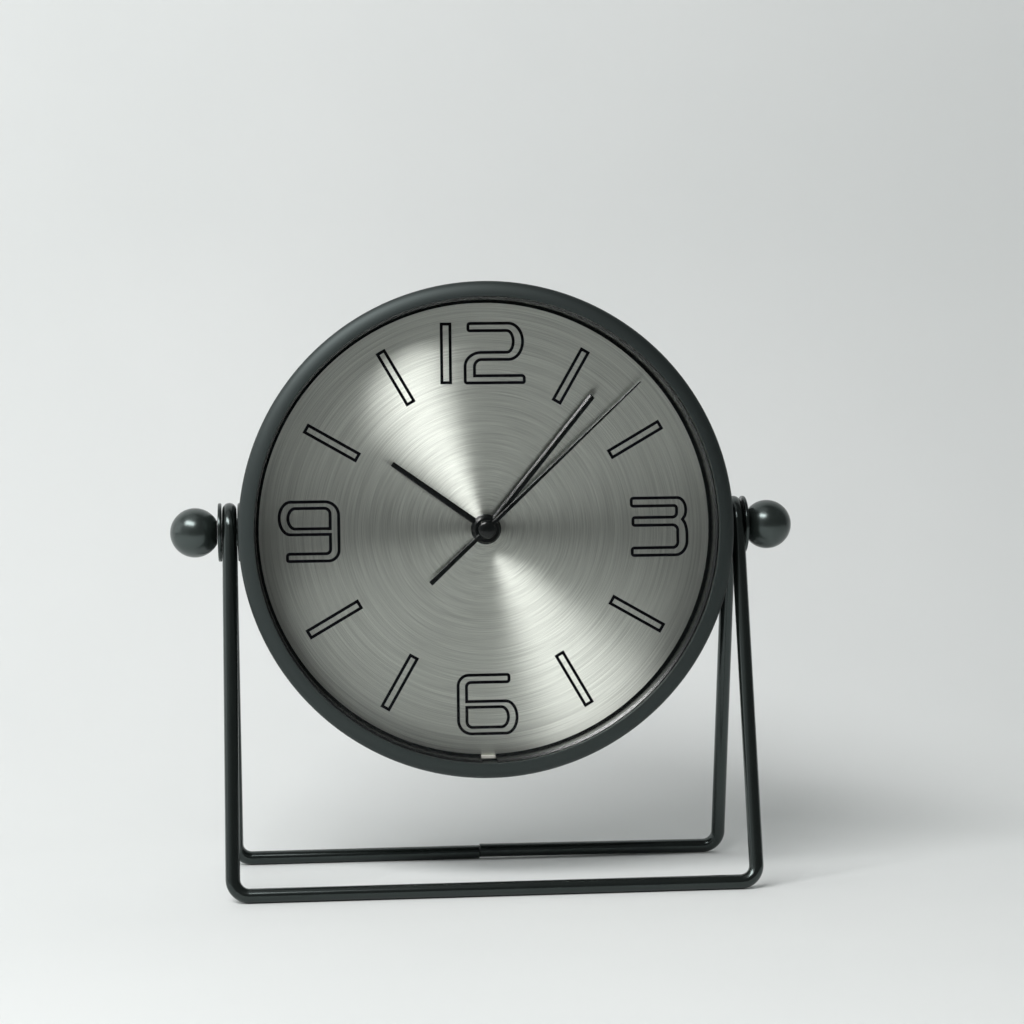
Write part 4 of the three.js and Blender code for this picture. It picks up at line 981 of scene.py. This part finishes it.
PAPER_REACH = 1.6
PAPER_HEIGHT = 1.8
PAPER_FADE = (-0.62, -0.36)
SWEEP_START = 0.07
SWEEP_RADIUS = 0.22
SWEEP_STEPS = 24
UNDERLAY = -0.0004


def paper(name):
    """Pale paper that fades out far in front of the clock, and is clear from behind and below."""
    material, tree = new_tree(name)
    place = object_place(tree)
    clouds = noise(tree, place, 1 / (160 * MM), 3.0, 0.5)
    fibres = noise(tree, place, 1 / (0.8 * MM), 4.0, 0.6)
    shader = add_node(tree, "ShaderNodeBsdfPrincipled", {
        "Base Color": ramp(tree, clouds, (0.79, 0.81, 0.802), (0.82, 0.838, 0.83)),
        "Roughness": 0.85, "Specular IOR Level": 0.2, "Normal": relief(tree, fibres, 0.02, 0.5),
    })
    clear = add_node(tree, "ShaderNodeBsdfTransparent")
    depth = add_node(tree, "ShaderNodeSeparateXYZ", {0: place}).outputs["Y"]
    near = add_node(tree, "ShaderNodeMapRange", {
        "Value": depth, "From Min": PAPER_FADE[0], "From Max": PAPER_FADE[1],
    }, interpolation_type="SMOOTHSTEP").outputs["Result"]
    show_mix(tree, front_only(tree, near), clear, shader)
    return material


def backdrop():
    """A sheet that sweeps up behind the clock, and a flat one under it that goes on to the back."""
    profile = [(-PAPER_REACH, 0.0), (SWEEP_START, 0.0)]
    profile += arc(SWEEP_RADIUS, -QUARTER, 0, SWEEP_STEPS, SWEEP_START, SWEEP_RADIUS)[1:]
    profile.append((SWEEP_START + SWEEP_RADIUS, PAPER_HEIGHT))
    count = len(profile)
    points = [(x, y, z) for x in (-PAPER_REACH, PAPER_REACH) for y, z in profile]
    faces = [(i, i + count, i + count + 1, i + 1) for i in range(count - 1)]
    points += [(x, y, UNDERLAY) for x, y in (
        (-PAPER_REACH, SWEEP_START), (PAPER_REACH, SWEEP_START),
        (PAPER_REACH, PAPER_REACH), (-PAPER_REACH, PAPER_REACH),
    )]
    faces.append(tuple(range(2 * count, len(points))))
    mesh = bpy.data.meshes.new("backdrop")
    mesh.from_pydata(points, [], faces)
    mesh.shade_smooth()
    mesh.materials.append(paper("paper"))
    sheet = bpy.data.objects.new("backdrop", mesh)
    bpy.context.scene.collection.objects.link(sheet)


backdrop()


# Light: three soft boxes, in metres and watts, and a dim room

def softbox(name, place, aim, width, height, power):
    lamp = bpy.data.lights.new(name, "AREA")
    lamp.shape = "RECTANGLE"
    lamp.size, lamp.size_y = width, height
    lamp.energy = power
    holder = bpy.data.objects.new(name, lamp)
    holder.location = place
    holder.rotation_euler = (Vector(aim) - Vector(place)).to_track_quat("-Z", "Y").to_euler()
    bpy.context.scene.collection.objects.link(holder)


def room(dim, bright):
    """Dim light from all round, brighter from the left."""
    world = bpy.data.worlds.new("room")
    world.use_nodes = True
    tree = world.node_tree
    way = add_node(tree, "ShaderNodeTexCoord").outputs["Generated"]
    across = add_node(tree, "ShaderNodeSeparateXYZ", {0: way}).outputs["X"]
    level = add_node(tree, "ShaderNodeMapRange", {
        "Value": across, "From Min": -0.15, "From Max": -0.9, "To Min": dim, "To Max": bright,
    }, interpolation_type="SMOOTHSTEP").outputs["Result"]
    tree.links.new(level, tree.nodes["Background"].inputs["Strength"])
    tree.nodes["Background"].inputs["Color"].default_value = (0.97, 1.0, 1.0, 1)
    return world


softbox("key", (-0.415, -0.585, 0.81), (0, 0, 0.1), 0.72, 0.28, 8.6)
softbox("top", (-0.35, -0.15, 1.3), (0, 0.1, 0), 1.0, 0.8, 1.0)
softbox("window", (-0.95, 0.05, 0.42), (0, 0, 0.12), 0.8, 0.6, 1.1)
bpy.context.scene.world = room(dim=0.12, bright=0.5)
bpy.context.scene.view_settings.view_transform = "Standard"


# Camera at the place the photograph was taken from

CAMERA_PLACE = (-58.28, -698.24, 124.19)
CAMERA_YAW, CAMERA_PITCH, CAMERA_ROLL = -5.433, -1.602, 0.696
SENSOR_WIDTH = 36
PHOTO_WIDTH = 1024
FOCAL_PIXELS = 2450

turn = (Matrix.Rotation(math.radians(CAMERA_YAW), 3, "Z")
        @ Matrix.Rotation(math.radians(CAMERA_PITCH), 3, "X")
        @ Matrix.Rotation(math.radians(CAMERA_ROLL), 3, "Y"))
right, forward, up = turn.col
lens = bpy.data.cameras.new("camera")
lens.sensor_width = SENSOR_WIDTH
lens.lens = SENSOR_WIDTH * FOCAL_PIXELS / PHOTO_WIDTH
lens.clip_start = 0.01
camera = bpy.data.objects.new("camera", lens)
camera.matrix_world = Matrix.Translation(Vector(CAMERA_PLACE) * MM) @ Matrix(
    (right, up, -forward)).transposed().to_4x4()
bpy.context.scene.collection.objects.link(camera)
bpy.context.scene.camera = camera
